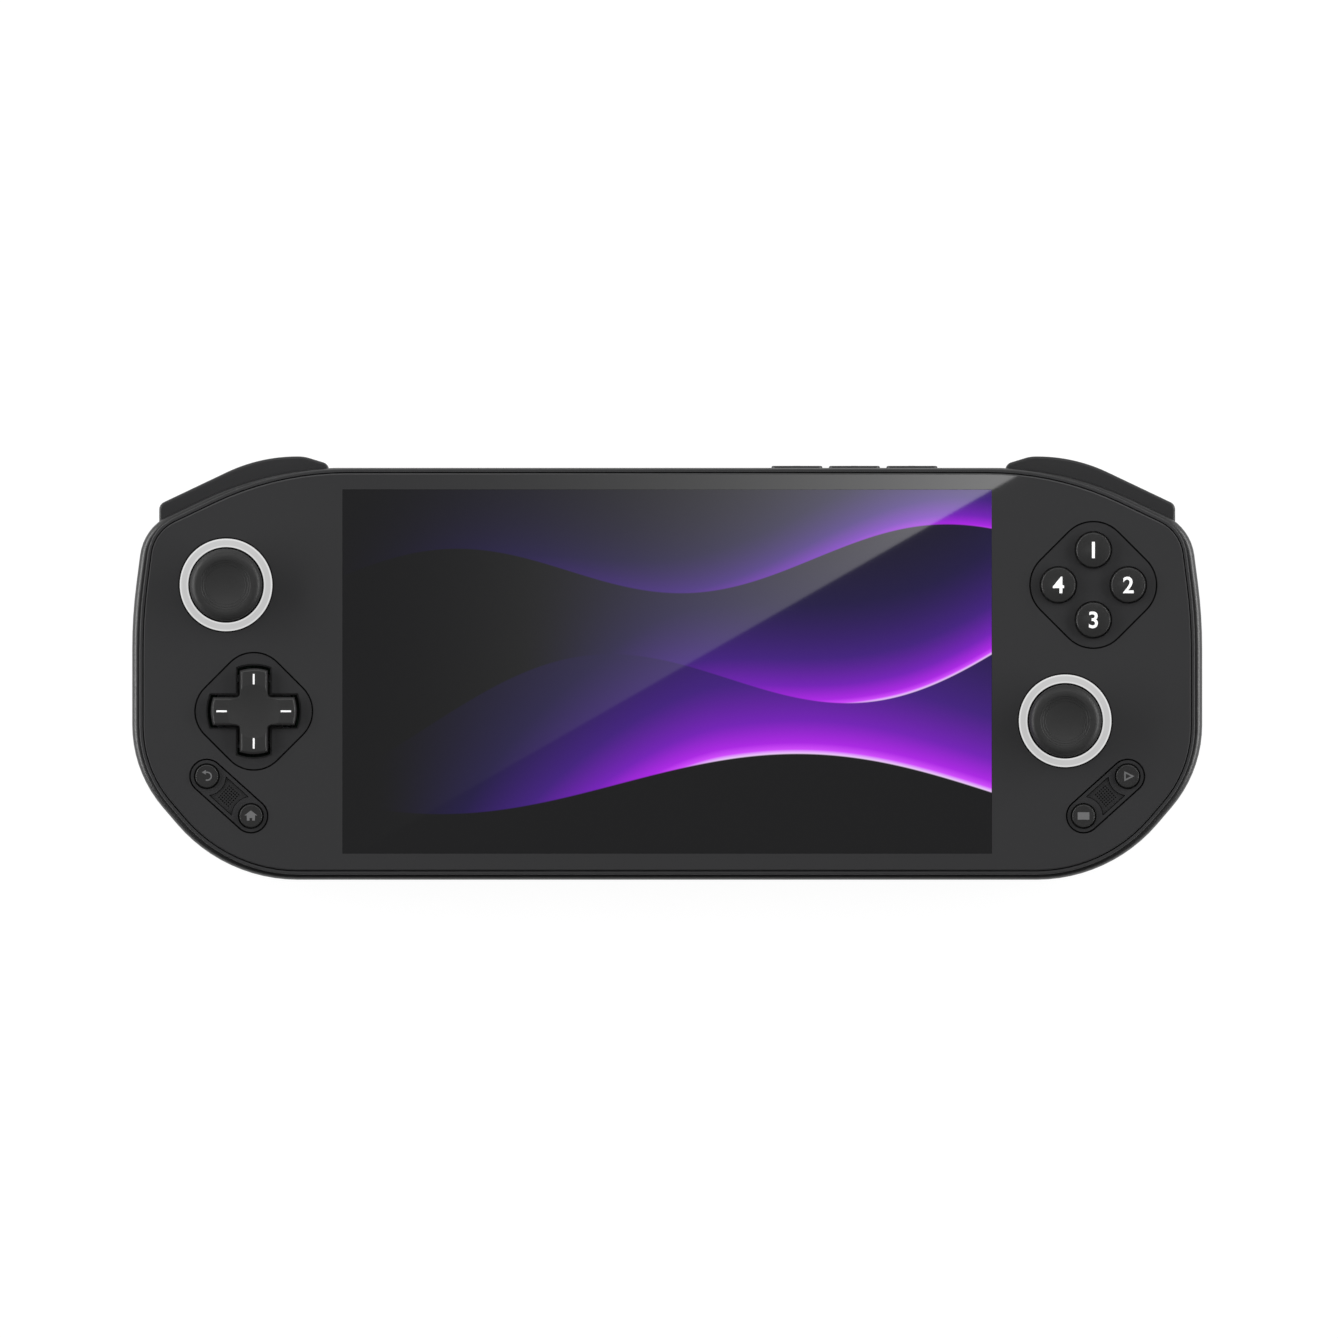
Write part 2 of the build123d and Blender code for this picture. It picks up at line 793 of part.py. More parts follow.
def stick_carrier():
    """Cup that carries the yoke and slides down when the stick is clicked. Pivot at height 0."""
    half = carrier_half
    bottom = stick_base_floor + stick_click + stick_click_gap - stick_pivot_height
    top = yoke_thickness / 2
    cup = block(-half, half, -half, half, bottom, top)
    inner = half - carrier_wall
    cup -= block(-inner, inner, -inner, inner, bottom + carrier_floor, top + overrun)
    return cup - rod_along_x(trunnion_radius + bearing_gap, -half - overrun, half + overrun)


def stick_yoke():
    """Frame that tips about X, with bores for the stick's cross pin. Pivot at height 0."""
    frame = Box(yoke_width, yoke_depth, yoke_thickness)
    frame -= Box(yoke_window_width, yoke_window_depth, yoke_thickness + overrun)
    reach = yoke_width / 2 + trunnion_length
    inside = (yoke_width + yoke_window_width) / 4
    frame += rod_along_x(trunnion_radius, -reach, -inside)
    frame += rod_along_x(trunnion_radius, inside, reach)
    return frame - rod_along_y(stick_cross_pin_radius + bearing_gap, -yoke_depth, yoke_depth)


def stick_levels():
    """Heights of a stick above its pivot: cap top, underside of the rim, shaft end."""
    top = face_z + stick_rise - stick_pivot_z
    under = top - stick_rim
    return top, under, under + stick_shaft_entry


def stick_shaft():
    """Shaft with its hub and cross pin. Pivot at height 0."""
    shaft = post(0, 0, stick_shaft_radius, 0, stick_levels()[2])
    shaft += post(0, 0, stick_hub_radius, -stick_hub_half, stick_hub_half)
    return shaft + rod_along_y(stick_cross_pin_radius, -stick_cross_pin_half, stick_cross_pin_half)


def stick_cap():
    """Cap with a dished top, stem and dust dome. Pivot at height 0."""
    top, under, shaft_end = stick_levels()
    rim = post(0, 0, stick_cap_radius, under, top)
    rim = fillet(edges_at(rim, -1), stick_edge_radius)
    rim = fillet(edges_at(rim, 0), stick_under_radius)
    ball = (stick_dish_radius**2 + stick_dish_depth**2) / (2 * stick_dish_depth)
    rim -= Pos(0, 0, top - stick_dish_depth + ball) * Sphere(ball)
    rim = fillet(edges_at(rim, -1).sort_by(SortBy.RADIUS)[0], stick_dish_round)
    cone = Cone(stick_stem_radius, stick_cap_radius - stick_under_radius, stick_cone + stick_under_radius)
    cap = rim + Pos(0, 0, under + stick_under_radius / 2 - stick_cone / 2) * cone
    cap += post(0, 0, stick_stem_radius, 0, under)
    cap += Sphere(stick_dome_radius)
    cap -= Sphere(stick_dome_radius - stick_dome_wall)
    edge = stick_dome_radius * cos(radians(stick_dome_angle))
    reach = 2 * stick_dome_radius
    cap -= block(-reach, reach, -reach, reach, -reach, edge)
    return cap - post(0, 0, stick_shaft_radius + bearing_gap, 0, shaft_end)


def dpad():
    """Cross-shaped pad with its flange and the cup for its pivot ball, about its centre."""
    top = face_z + dpad_rise
    face = cross(dpad_reach, dpad_arm_width)
    inner = face.vertices().sort_by_distance((0, 0, 0))[:4]
    body = slab(fillet(inner, dpad_inner_radius), dpad_flange_bottom, top)
    body = fillet(edges_at(body, -1), dpad_edge_radius)
    ball = (dpad_dish_radius**2 + dpad_dish_depth**2) / (2 * dpad_dish_depth)
    body -= Pos(0, 0, top - dpad_dish_depth + ball) * Sphere(ball)
    body += post(0, 0, dpad_flange_radius, dpad_flange_bottom, dpad_flange_bottom + dpad_flange_thickness)
    return body - Pos(0, 0, dpad_pivot_z) * Sphere(dpad_ball_radius + bearing_gap)


def dpad_plate():
    """Plate let into the panel round the directional pad, about its centre."""
    plate = plate_square(dpad_plate_half, dpad_plate_corner)
    step = face_z - dpad_step_drop
    body = slab(plate - dpad_channel(0), step, face_z)
    return body + slab(plate - dpad_channel(dpad_step_width), deck_top, step)


def dpad_membrane():
    """Rubber sheet with four domes, about the pad's centre."""
    sheet = Circle(dpad_dome_pitch + 2 * dpad_dome_radius) - Circle(dpad_post_radius + membrane_gap)
    body = slab(sheet, board_top, board_top + membrane_sheet)
    top = dpad_flange_bottom - membrane_gap
    domes = PolarLocations(dpad_dome_pitch, 4) * Cylinder(dpad_dome_radius, top - board_top)
    return body + [Pos(0, 0, (top + board_top) / 2) * dome for dome in domes]


def face_button():
    """Round button with a crowned top and a flange, about its centre."""
    top = face_z + face_rise
    body = post(0, 0, face_cap_radius, flange_bottom, top)
    ball = (face_cap_radius**2 + face_crown**2) / (2 * face_crown)
    body &= Pos(0, 0, top - ball) * Sphere(ball)
    body = fillet(body.faces().sort_by(Axis.Z)[-1].edges().filter_by(GeomType.CIRCLE), face_edge_radius)
    return body + post(0, 0, face_cap_radius + flange_width, flange_bottom, flange_top)


def face_plate():
    """Plate let into the panel round the face buttons."""
    x, y = place(1, face_shares)
    face = Pos(x, y) * plate_square(face_plate_half, face_plate_corner)
    for spot in face_places().values():
        face -= Pos(*spot) * Circle(face_hole_radius)
    return slab(face, deck_top, face_z)


def face_membrane():
    """Rubber sheet with a dome under each face button."""
    x, y = place(1, face_shares)
    sheet = Pos(x, y) * plate_square(face_sheet_half, face_sheet_corner)
    body = slab(sheet, board_top, board_top + membrane_sheet)
    for spot in face_places().values():
        body += post(*spot, face_dome_radius, board_top, flange_bottom - membrane_gap)
    return body


def small_button():
    """Small round button with its flange, about its centre."""
    body = post(0, 0, small_cap_radius, flange_bottom, face_z + small_rise)
    body = fillet(edges_at(body, -1), small_edge_radius)
    return body + post(0, 0, small_cap_radius + small_flange_width, flange_bottom, flange_top)


def pill_plate(side):
    """Plate let into the panel round two small buttons and the speaker grille."""
    face = pill_slot(pill_half_width) - grille_shape(grille_gap)
    for disc in small_disc_pair(small_hole_radius):
        face -= disc
    return pill_frame(side) * slab(face, deck_top, face_z)


def pill_membrane(side):
    """Rubber strip with a dome under each small button and a gap for the speaker duct."""
    body = slab(pill_slot(pill_half_width) - duct_opening(), board_top, board_top + membrane_sheet)
    for end in (-1, 1):
        body += post(end * pill_half_pitch, 0, small_dome_radius, board_top, flange_bottom - membrane_gap)
    return pill_frame(side) * body


def speaker_grille(side):
    """Perforated field between the two small buttons."""
    face = grille_shape(0)
    hole = Circle(grille_hole_radius)
    rows = int(2 * duct_half_width / grille_pitch)
    columns = int(2 * duct_half_length / grille_pitch)
    holes = GridLocations(grille_pitch, grille_pitch, columns, rows) * hole
    face -= holes
    return pill_frame(side) * slab(face, deck_top, face_z - grille_drop)


def speaker(side):
    """Speaker box on the floor, with a duct up to the grille."""
    top = floor_z + speaker_height
    box = slab(RectangleRounded(speaker_length, speaker_width, speaker_corner), floor_z, top)
    box += slab(Rectangle(2 * duct_half_length, 2 * duct_half_width), top - duct_root, deck_top)
    bore = Rectangle(2 * duct_half_length - 2 * duct_wall, 2 * duct_half_width - 2 * duct_wall)
    return pill_frame(side) * (box - slab(bore, top - duct_root, deck_top + overrun))


def shoulder_face(setback):
    """Outline of the right bumper, or of the trigger a little behind it, seen from the front."""
    start, end, low = shoulder_span()
    ending, bottom = (-1, 0, -end), (0, -1, -low)
    outer = moved_sides([setback - bumper_proud_top] + [setback - bumper_proud] * 5)
    inner = moved_sides([rear_wall + shoulder_depth] * 6)
    top = -outer[0][2]
    points = [(start, top - shoulder_taper_drop), (start + shoulder_taper, top)]
    radii = [shoulder_round, shoulder_taper_round]
    taper = (-shoulder_taper_drop, -shoulder_taper)
    lead = shoulder_taper_round * tan(radians(half_turn(outer[0], taper)))
    bend_x, bend_y = crossing(outer[0], outer[1])
    slope = tan(radians(half_turn(outer[0], outer[1])))
    points.append((bend_x, bend_y))
    radii.append(shoulder_bend_share * (bend_x - start - shoulder_taper - lead) / slope)
    points += [crossing(outer[1], ending), (end, low), crossing(inner[1], bottom)]
    radii += [shoulder_round, 0, 0]
    bend_x, bend_y = crossing(inner[0], inner[1])
    points += [(bend_x, bend_y), (start, -inner[0][2])]
    radii += [shoulder_bend_share * (bend_x - start) / slope, 0]
    band = make_face(FilletPolyline(*points, radius=radii, close=True))
    x, y = shoulder_pin_place()
    eye = Pos(x, y) * Circle(shoulder_eye_radius)
    neck_top = half_height - rear_wall
    neck = Rectangle(2 * shoulder_eye_radius, neck_top - y, align=(Align.CENTER, Align.MIN))
    return band + eye + Pos(x, y) * neck - Pos(x, y) * Circle(shoulder_pin_radius + bearing_gap)


def outer_edges(body, level):
    """The edges of the top or bottom face that lie outside the case."""
    case = even_outline(0).faces()[0]
    edges = []
    for edge in edges_at(body, level):
        middle = edge @ 0.5
        if not case.is_inside((middle.X, middle.Y, 0)):
            edges.append(edge)
    return edges


def bumper(side):
    """Bumper on its pin."""
    body = slab(shoulder_face(0), bumper_bottom, bumper_top)
    body = fillet(outer_edges(body, -1), bumper_edge_radius)
    return body if side > 0 else mirror(body, about=Plane.YZ)


def trigger(side):
    """Trigger behind the bumper, on the same pin, rounded towards the back."""
    body = slab(shoulder_face(trigger_setback), trigger_bottom, trigger_top)
    body = fillet(outer_edges(body, 0), trigger_edge_radius)
    return body if side > 0 else mirror(body, about=Plane.YZ)


def shoulder_pins():
    """The two pins that the bumpers and triggers turn on."""
    x, y = shoulder_pin_place()
    low, high = floor_z - shoulder_pin_seat, lip_bottom + shoulder_pin_top
    return Compound([post(side * x, y, shoulder_pin_radius, low, high) for side in (-1, 1)])


def top_button(x):
    """Button on the top edge, with a flange behind the wall."""
    z = seam_z - top_button_drop
    outer = half_height + top_button_proud
    inner = half_height - rear_wall - top_button_gap
    body = extrude(Pos(x, outer, z) * top_button_face(0), outer - inner)
    body = fillet(body.edges().group_by(Axis.Y)[-1], top_button_round)
    flange = extrude(Pos(x, inner, z) * top_button_face(top_button_flange), top_button_flange_thickness)
    return body + flange


def top_switch_board():
    """Board with a switch behind each of the top buttons, standing on the floor."""
    z = seam_z - top_button_drop
    inner = half_height - rear_wall - top_button_gap - top_button_flange_thickness
    face = inner - top_button_travel - membrane_gap
    back = face - top_switch_depth
    places = top_button_places()
    end = top_button_width / 2 + top_board_end
    top = z + top_button_height / 2
    low = floor_z + top_board_stand
    board = block(places[0] - end, places[-1] + end, back - top_board_thickness, back, low, top)
    half, tall = top_switch_width / 2, top_switch_height / 2
    for x in places:
        board += block(x - half, x + half, back, face, z - tall, z + tall)
    return board


def main_board():
    """Main board on its posts."""
    half = half_width * main_board_half_share
    low = rear_wall + main_board_gap - half_height
    return block(-half, half, low, half_height * main_board_top_share, main_board_bottom, main_board_top)


def processor_shield():
    """Metal can over the processor."""
    low = port_setback - half_height + max(usb_depth, jack_depth, card_depth) + shield_gap
    high = half_height * main_board_top_share - shield_inset
    half = shield_length / 2
    can = block(-half, half, low, high, main_board_top, main_board_top + shield_height)
    return fillet(edges_at(can, -1), shield_edge_radius)


def usb_c_port():
    """Charging port with its tongue, open at the bottom edge."""
    mouth = port_setback - half_height
    stand = Pos(0, 0, main_board_top + usb_height / 2) * Rot(90, 0, 0)
    shell = SlotOverall(usb_width, usb_height)
    shell -= SlotOverall(usb_width - 2 * usb_wall, usb_height - 2 * usb_wall)
    root = Pos(0, mouth + usb_depth, 0) * stand
    body = extrude(root * shell, usb_depth)
    body += extrude(root * SlotOverall(usb_width, usb_height), usb_back)
    tongue = Rectangle(usb_tongue_width, usb_tongue_thickness)
    return body + extrude(root * tongue, usb_tongue_length)


def headphone_jack():
    """Headphone jack with its round mouth at the bottom edge."""
    x = port_places()[0]
    z = main_board_top + jack_height / 2
    mouth = port_setback - half_height
    shoulder = mouth + jack_nose_length
    half = jack_width / 2
    top = main_board_top + jack_height
    body = block(x - half, x + half, shoulder, mouth + jack_depth, main_board_top, top)
    root = shoulder + jack_nose_root
    nose = Pos(x, root, z) * Rot(90, 0, 0) * Circle(jack_nose_radius)
    body += extrude(nose, root - mouth)
    bore = Pos(x, mouth + jack_bore_depth, z) * Rot(90, 0, 0) * Circle(jack_bore_radius)
    return body - extrude(bore, jack_bore_depth + overrun)


def card_slot():
    """Memory card slot, open at the bottom edge."""
    x = port_places()[1]
    mouth = port_setback - half_height
    half = card_width / 2
    top = main_board_top + card_height
    body = block(x - half, x + half, mouth, mouth + card_depth, main_board_top, top)
    inner = half - card_wall
    low, high = main_board_top + card_wall, top - card_wall
    return body - block(x - inner, x + inner, mouth - overrun, mouth + card_depth - card_wall, low, high)


def battery():
    """Flat battery on the floor, above the main board."""
    half = half_width * battery_half_share
    low = half_height * main_board_top_share + battery_gap
    flange = half_height - rear_wall - top_button_gap - top_button_flange_thickness
    back = flange - top_button_travel - membrane_gap - top_switch_depth - top_board_thickness
    cell = block(-half, half, low, back - battery_gap, floor_z, floor_z + battery_thickness)
    return fillet(cell.edges().filter_by(Axis.X), battery_edge_radius)


def at(spot, body, height=0):
    """A piece moved from the origin to its place on the console."""
    return Pos(*spot, height) * body


def write(name, body):
    """One piece to its own file, moved so that the origin is under the middle of the outline."""
    export_step(Pos(0, -origin_shift, 0) * body, f"parts/{name}.step")


def build_case():
    """Shells, panel, grips and screws."""
    write("rear_cover", rear_cover())
    write("front_cover", front_cover())
    write("front_panel", front_panel())
    write("left_grip", grip(-1))
    write("right_grip", grip(1))
    write("case_screws", case_screws())


def build_display():
    """The display and what holds it."""
    write("display_glass", display_glass())
    write("display_panel", display_panel())
    write("display_frame", display_frame())


def build_sticks():
    """Both thumb sticks."""
    for name, side, shares in (("left", -1, left_stick_shares), ("right", 1, right_stick_shares)):
        spot = place(side, shares)
        write(f"{name}_stick_ring", at(spot, stick_ring()))
        write(f"{name}_stick_base", at(spot, stick_base()))
        write(f"{name}_stick_carrier", at(spot, stick_carrier(), stick_pivot_z))
        write(f"{name}_stick_yoke", at(spot, stick_yoke(), stick_pivot_z))
        write(f"{name}_stick_shaft", at(spot, stick_shaft(), stick_pivot_z))
        write(f"{name}_stick_cap", at(spot, stick_cap(), stick_pivot_z))


def build_dpad():
    """The directional pad, its pivot ball, plate and membrane."""
    spot = dpad_place()
    write("dpad", at(spot, dpad()))
    write("dpad_pivot", at(spot, Sphere(dpad_ball_radius), dpad_pivot_z))
    write("dpad_bezel", at(spot, dpad_plate()))
    write("dpad_membrane", at(spot, dpad_membrane()))


def build_face_buttons():
    """The four face buttons, their plate and membrane."""
    for name, spot in face_places().items():
        write(f"face_button_{name}", at(spot, face_button()))
    write("face_button_bezel", face_plate())
    write("face_button_membrane", face_membrane())


def build_pills():
    """Small buttons, plates, grilles and speakers of both sides."""
    names = {-1: ("back_button", "home_button"), 1: ("play_button", "menu_button")}
    for side, label in ((-1, "left"), (1, "right")):
        for end, name in zip((1, -1), names[side]):
            write(name, pill_frame(side) * Pos(end * pill_half_pitch, 0, 0) * small_button())
        write(f"{label}_pill_bezel", pill_plate(side))
        write(f"{label}_pill_membrane", pill_membrane(side))
        write(f"{label}_speaker_grille", speaker_grille(side))
        write(f"{label}_speaker", speaker(side))


def build_shoulders():
    """Bumpers, triggers and their pins."""
    for side, label in ((-1, "left"), (1, "right")):
        write(f"{label}_bumper", bumper(side))
        write(f"{label}_trigger", trigger(side))
    write("shoulder_pins", shoulder_pins())


def build_top_buttons():
    """Power and volume buttons with their board."""
    names = ("volume_down_button", "volume_up_button", "power_button")
    for name, x in zip(names, top_button_places()):
        write(name, top_button(x))
    write("top_switch_board", top_switch_board())


def build_insides():
    """Boards, ports, shield and battery."""
    write("left_control_board", control_board(-1))
    write("right_control_board", control_board(1))
    write("main_board", main_board())
    write("processor_shield", processor_shield())
    write("usb_c_port", usb_c_port())
    write("headphone_jack", headphone_jack())
    write("card_slot", card_slot())
    write("battery", battery())


os.makedirs("parts", exist_ok=True)
build_case()
build_display()
build_sticks()
build_dpad()
build_face_buttons()
build_pills()
build_shoulders()
build_top_buttons()
build_insides()
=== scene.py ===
"""Looks of a handheld game console: finishes, markings, small trim and the studio round it.

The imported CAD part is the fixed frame. Everything here is in metres in that frame, and sizes
are written in millimetres and turned by MM.
"""

import logging
import math
from collections.abc import Callable, Sequence
from dataclasses import dataclass, field
from enum import Enum

import bmesh
import bpy
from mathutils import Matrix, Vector


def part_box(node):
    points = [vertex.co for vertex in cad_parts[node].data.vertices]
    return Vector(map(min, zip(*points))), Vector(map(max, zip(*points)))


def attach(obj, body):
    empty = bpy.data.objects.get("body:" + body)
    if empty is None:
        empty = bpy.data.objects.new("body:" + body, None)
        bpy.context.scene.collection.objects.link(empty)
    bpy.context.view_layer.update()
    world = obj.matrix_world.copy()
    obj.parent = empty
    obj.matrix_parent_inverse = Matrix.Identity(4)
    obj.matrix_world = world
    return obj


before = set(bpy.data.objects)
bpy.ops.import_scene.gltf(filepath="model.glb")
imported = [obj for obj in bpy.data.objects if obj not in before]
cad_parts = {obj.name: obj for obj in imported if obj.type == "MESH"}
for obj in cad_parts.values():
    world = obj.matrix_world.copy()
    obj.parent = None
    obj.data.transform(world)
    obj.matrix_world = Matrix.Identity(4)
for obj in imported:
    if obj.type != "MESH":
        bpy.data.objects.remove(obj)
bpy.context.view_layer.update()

MM = 0.001
NEAR = 0.02  # millimetres within which two places count as one
SUNK = 0.03  # millimetres that a print lies sunk in what carries it
SMOOTH_ANGLE = math.radians(40)  # shallower edges are shaded smooth
BEVEL_ANGLE = math.radians(60)  # sharper edges are eased
LOG = logging.getLogger("console_looks")

Socket = bpy.types.NodeSocket
Tree = bpy.types.NodeTree
Node = bpy.types.Node
Thing = bpy.types.Object
Colour = tuple[float, float, float, float]
Pair = tuple[float, float]
Link = Node | Socket
Inputs = dict[str | int, Link | float | Sequence[float]]
# The Mix node's settings for colours, and its sockets for them, which share their names
# with those for numbers.
COLOURS = {"data_type": "RGBA"}
MIX_FIRST, MIX_SECOND = 6, 7
MATERIALS: dict[str, bpy.types.Material] = {}


class Side(Enum):
    """Half of the console, by the sign of its X."""

    LEFT = -1
    RIGHT = 1

    @property
    def label(self) -> str:
        """Returns the side's word in node and body names."""
        return self.name.lower()


def linear(text: str, factor: float = 1.0) -> Colour:
    """Turns an sRGB hex colour to linear light.

    Args:
        text: The colour as #rrggbb.
        factor: What the linear colour is multiplied by.

    Returns:
        Linear red, green and blue with an alpha of 1.
    """
    shares = [int(text[i : i + 2], 16) / 255 for i in (1, 3, 5)]
    light = [s / 12.92 if s <= 0.04045 else ((s + 0.055) / 1.055) ** 2.4 for s in shares]
    red, green, blue = (channel * factor for channel in light)
    return red, green, blue, 1.0


def feed(tree: Tree, node: Node, inputs: Inputs) -> None:
    """Sets or links input sockets of a node.

    Args:
        tree: The node tree.
        node: The node whose sockets are fed.
        inputs: Sockets by name or number, each with a value, with the socket it is linked to,
            or with the node whose first output in use it is linked to.
    """
    for key, value in inputs.items():
        if isinstance(value, Node):
            value = next(output for output in value.outputs if output.enabled)
        if isinstance(value, Socket):
            tree.links.new(value, node.inputs[key])
        else:
            node.inputs[key].default_value = value


def add_node(
    tree: Tree, kind: str, settings: dict | None = None, inputs: Inputs | None = None
) -> Node:
    """Adds a shader node with its settings and links.

    Args:
        tree: The node tree.
        kind: The node's type after ShaderNode.
        settings: Attributes of the node by name.
        inputs: Input sockets by name or number, as feed takes them.

    Returns:
        The node.
    """
    node = tree.nodes.new("ShaderNode" + kind)
    for name, value in (settings or {}).items():
        setattr(node, name, value)
    feed(tree, node, inputs or {})
    return node


def set_stops(ramp: Node, stops: Sequence[tuple[float, str]]) -> None:
    """Gives a colour ramp its stops.

    Args:
        ramp: The colour ramp node.
        stops: Places from 0 to 1 with their sRGB colours, in order.
    """
    elements = ramp.color_ramp.elements
    for index, (spot, colour) in enumerate(stops):
        element = elements[index] if index < 2 else elements.new(spot)
        element.position = spot
        element.color = linear(colour)


def about(value: float, spread: float) -> Pair:
    """Returns the range that reaches a spread to each side of a value."""
    return value - spread, value + spread


@dataclass(frozen=True)
class Finish:
    """A surface finish, made into a material the first time it is asked for."""

    name: str

    def material(self) -> bpy.types.Material:
        """Returns the finish's material."""
        if self.name not in MATERIALS:
            material = bpy.data.materials.new(self.name)
            material.use_nodes = True
            tree = material.node_tree
            feed(tree, tree.nodes["Principled BSDF"], self.paint(tree))
            MATERIALS[self.name] = material
        return MATERIALS[self.name]

    def paint(self, tree: Tree) -> Inputs:
        """Adds the finish's nodes.

        Args:
            tree: The material's node tree.

        Returns:
            What the Principled shader is fed.
        """
        raise NotImplementedError


@dataclass(frozen=True)
class MouldedPlastic(Finish):
    """ABS or polycarbonate from a spark-eroded mould: an even grain that breaks up the gloss."""

    colour: str
    roughness: float
    grain_width: float
    grain_depth: float
    specular: float = 0.5
    coat: float = 0.0
    coat_roughness: float = 0.02
    mottle: float = 0.05
    mottle_width: float = 14.0
    spread: float = 0.05

    def paint(self, tree: Tree) -> Inputs:
        """Paints grain in the bump and roughness, and a faint mottle in the colour.

        Args:
            tree: The material's node tree.

        Returns:
            What the Principled shader is fed.
        """
        place = add_node(tree, "TexCoord").outputs["Object"]
        fine = {"Vector": place, "Scale": 1 / (self.grain_width * MM), "Detail": 2.0}
        grain = add_node(tree, "TexNoise", {}, fine)
        wide = {"Vector": place, "Scale": 1 / (self.mottle_width * MM), "Detail": 3.0}
        mottle = add_node(tree, "TexNoise", {}, wide)
        dark, pale = (linear(self.colour, shade) for shade in about(1.0, self.mottle))
        low, high = about(self.roughness, self.spread)
        relief = {"Height": grain, "Distance": self.grain_depth * MM}
        return {
            "Base Color": add_node(
                tree, "Mix", COLOURS, {0: mottle, MIX_FIRST: dark, MIX_SECOND: pale}
            ),
            "Roughness": add_node(
                tree, "MapRange", {}, {"Value": grain, "To Min": low, "To Max": high}
            ),
            "Normal": add_node(tree, "Bump", {}, relief),
            "Specular IOR Level": self.specular,
            "Coat Weight": self.coat,
            "Coat Roughness": self.coat_roughness,
        }


@dataclass(frozen=True)
class ShellRim(MouldedPlastic):
    """The front cover's plastic: a grey rim, and painted shade on its deck under the panel, so
    that the gaps that look down on it read dark.
    """

    # Colour of the painted shade on the deck, and the height in millimetres where that shade
    # ends.
    deck_shade_colour: str = "#0a0a0b"
    shade_line: float = 18.3
    shade_blur: float = 0.1

    def paint(self, tree: Tree) -> Inputs:
        """Paints the grain, then painted shade on the deck below the grey rim.

        Args:
            tree: The material's node tree.

        Returns:
            What the Principled shader is fed.
        """
        inputs = super().paint(tree)
        place = add_node(tree, "TexCoord").outputs["Object"]
        height = add_node(tree, "SeparateXYZ", {}, {0: place}).outputs["Z"]
        low, high = about(self.shade_line * MM, self.shade_blur * MM)
        # Painted shade: below this height the deck is coloured near black, standing in for the
        # shade in the gaps round the panel and plates.
        above_shade = add_node(
            tree, "MapRange", {}, {"Value": height, "From Min": low, "From Max": high}
        )
        ends = {MIX_FIRST: linear(self.deck_shade_colour), MIX_SECOND: inputs["Base Color"]}
        inputs["Base Color"] = add_node(tree, "Mix", COLOURS, {0: above_shade, **ends})
        return inputs


@dataclass(frozen=True)
class SoftRubber(Finish):
    """Moulded elastomer: no clear reflection, a soft sheen, and dimples where it is a grip."""

    colour: str
    roughness: float = 0.55
    dimple_pitch: float = 0.0
    dimple_depth: float = 0.0
    sheen: float = 0.12
    specular: float = 0.4
    pore_width: float = 0.3  # coarser than real pores, so that they show
    pore_depth: float = 0.012
    spread: float = 0.06
    shades: Pair = (0.92, 1.08)

    def paint(self, tree: Tree) -> Inputs:
        """Paints fine pores, and round dimples where a pitch is given.

        Args:
            tree: The material's node tree.

        Returns:
            What the Principled shader is fed.
        """
        place = add_node(tree, "TexCoord").outputs["Object"]
        fine = {"Vector": place, "Scale": 1 / (self.pore_width * MM), "Detail": 2.0}
        pores = add_node(tree, "TexNoise", {}, fine)
        relief = add_node(tree, "Bump", {}, {"Height": pores, "Distance": self.pore_depth * MM})
        if self.dimple_pitch:
            grid = {"Vector": place, "Scale": 1 / (self.dimple_pitch * MM), "Randomness": 0.0}
            dimples = add_node(tree, "TexVoronoi", {"feature": "F1"}, grid)
            dents = {"Height": dimples, "Distance": self.dimple_depth * MM, "Normal": relief}
            relief = add_node(tree, "Bump", {}, dents)
        dark, pale = (linear(self.colour, shade) for shade in self.shades)
        low, high = about(self.roughness, self.spread)
        return {
            "Base Color": add_node(
                tree, "Mix", COLOURS, {0: pores, MIX_FIRST: dark, MIX_SECOND: pale}
            ),
            "Roughness": add_node(
                tree, "MapRange", {}, {"Value": pores, "To Min": low, "To Max": high}
            ),
            "Normal": relief,
            "Specular IOR Level": self.specular,
            "Sheen Weight": self.sheen,
            "Sheen Roughness": 0.5,
        }


@dataclass(frozen=True)
class WorkedMetal(Finish):
    """Stamped, turned or brushed metal, with its fine working marks along one direction."""

    colour: str
    roughness: float
    marks: tuple[float, float, float] = (0.08, 1.2, 1.2)
    mark_depth: float = 0.004
    spread: float = 0.08
    shades: Pair = (0.9, 1.08)

    def paint(self, tree: Tree) -> Inputs:
        """Paints stretched noise as working marks in the roughness and bump.

        Args:
            tree: The material's node tree.

        Returns:
            What the Principled shader is fed.
        """
        place = add_node(tree, "TexCoord").outputs["Object"]
        scale = tuple(1 / (width * MM) for width in self.marks)
        stretched = add_node(tree, "Mapping", {}, {"Vector": place, "Scale": scale})
        fine = {"Vector": stretched, "Scale": 1.0, "Detail": 2.0}
        marks = add_node(tree, "TexNoise", {}, fine)
        dark, pale = (linear(self.colour, shade) for shade in self.shades)
        low, high = about(self.roughness, self.spread)
        relief = {"Height": marks, "Distance": self.mark_depth * MM}
        return {
            "Base Color": add_node(
                tree, "Mix", COLOURS, {0: marks, MIX_FIRST: dark, MIX_SECOND: pale}
            ),
            "Roughness": add_node(
                tree, "MapRange", {}, {"Value": marks, "To Min": low, "To Max": high}
            ),
            "Normal": add_node(tree, "Bump", {}, relief),
            "Metallic": 1.0,
        }


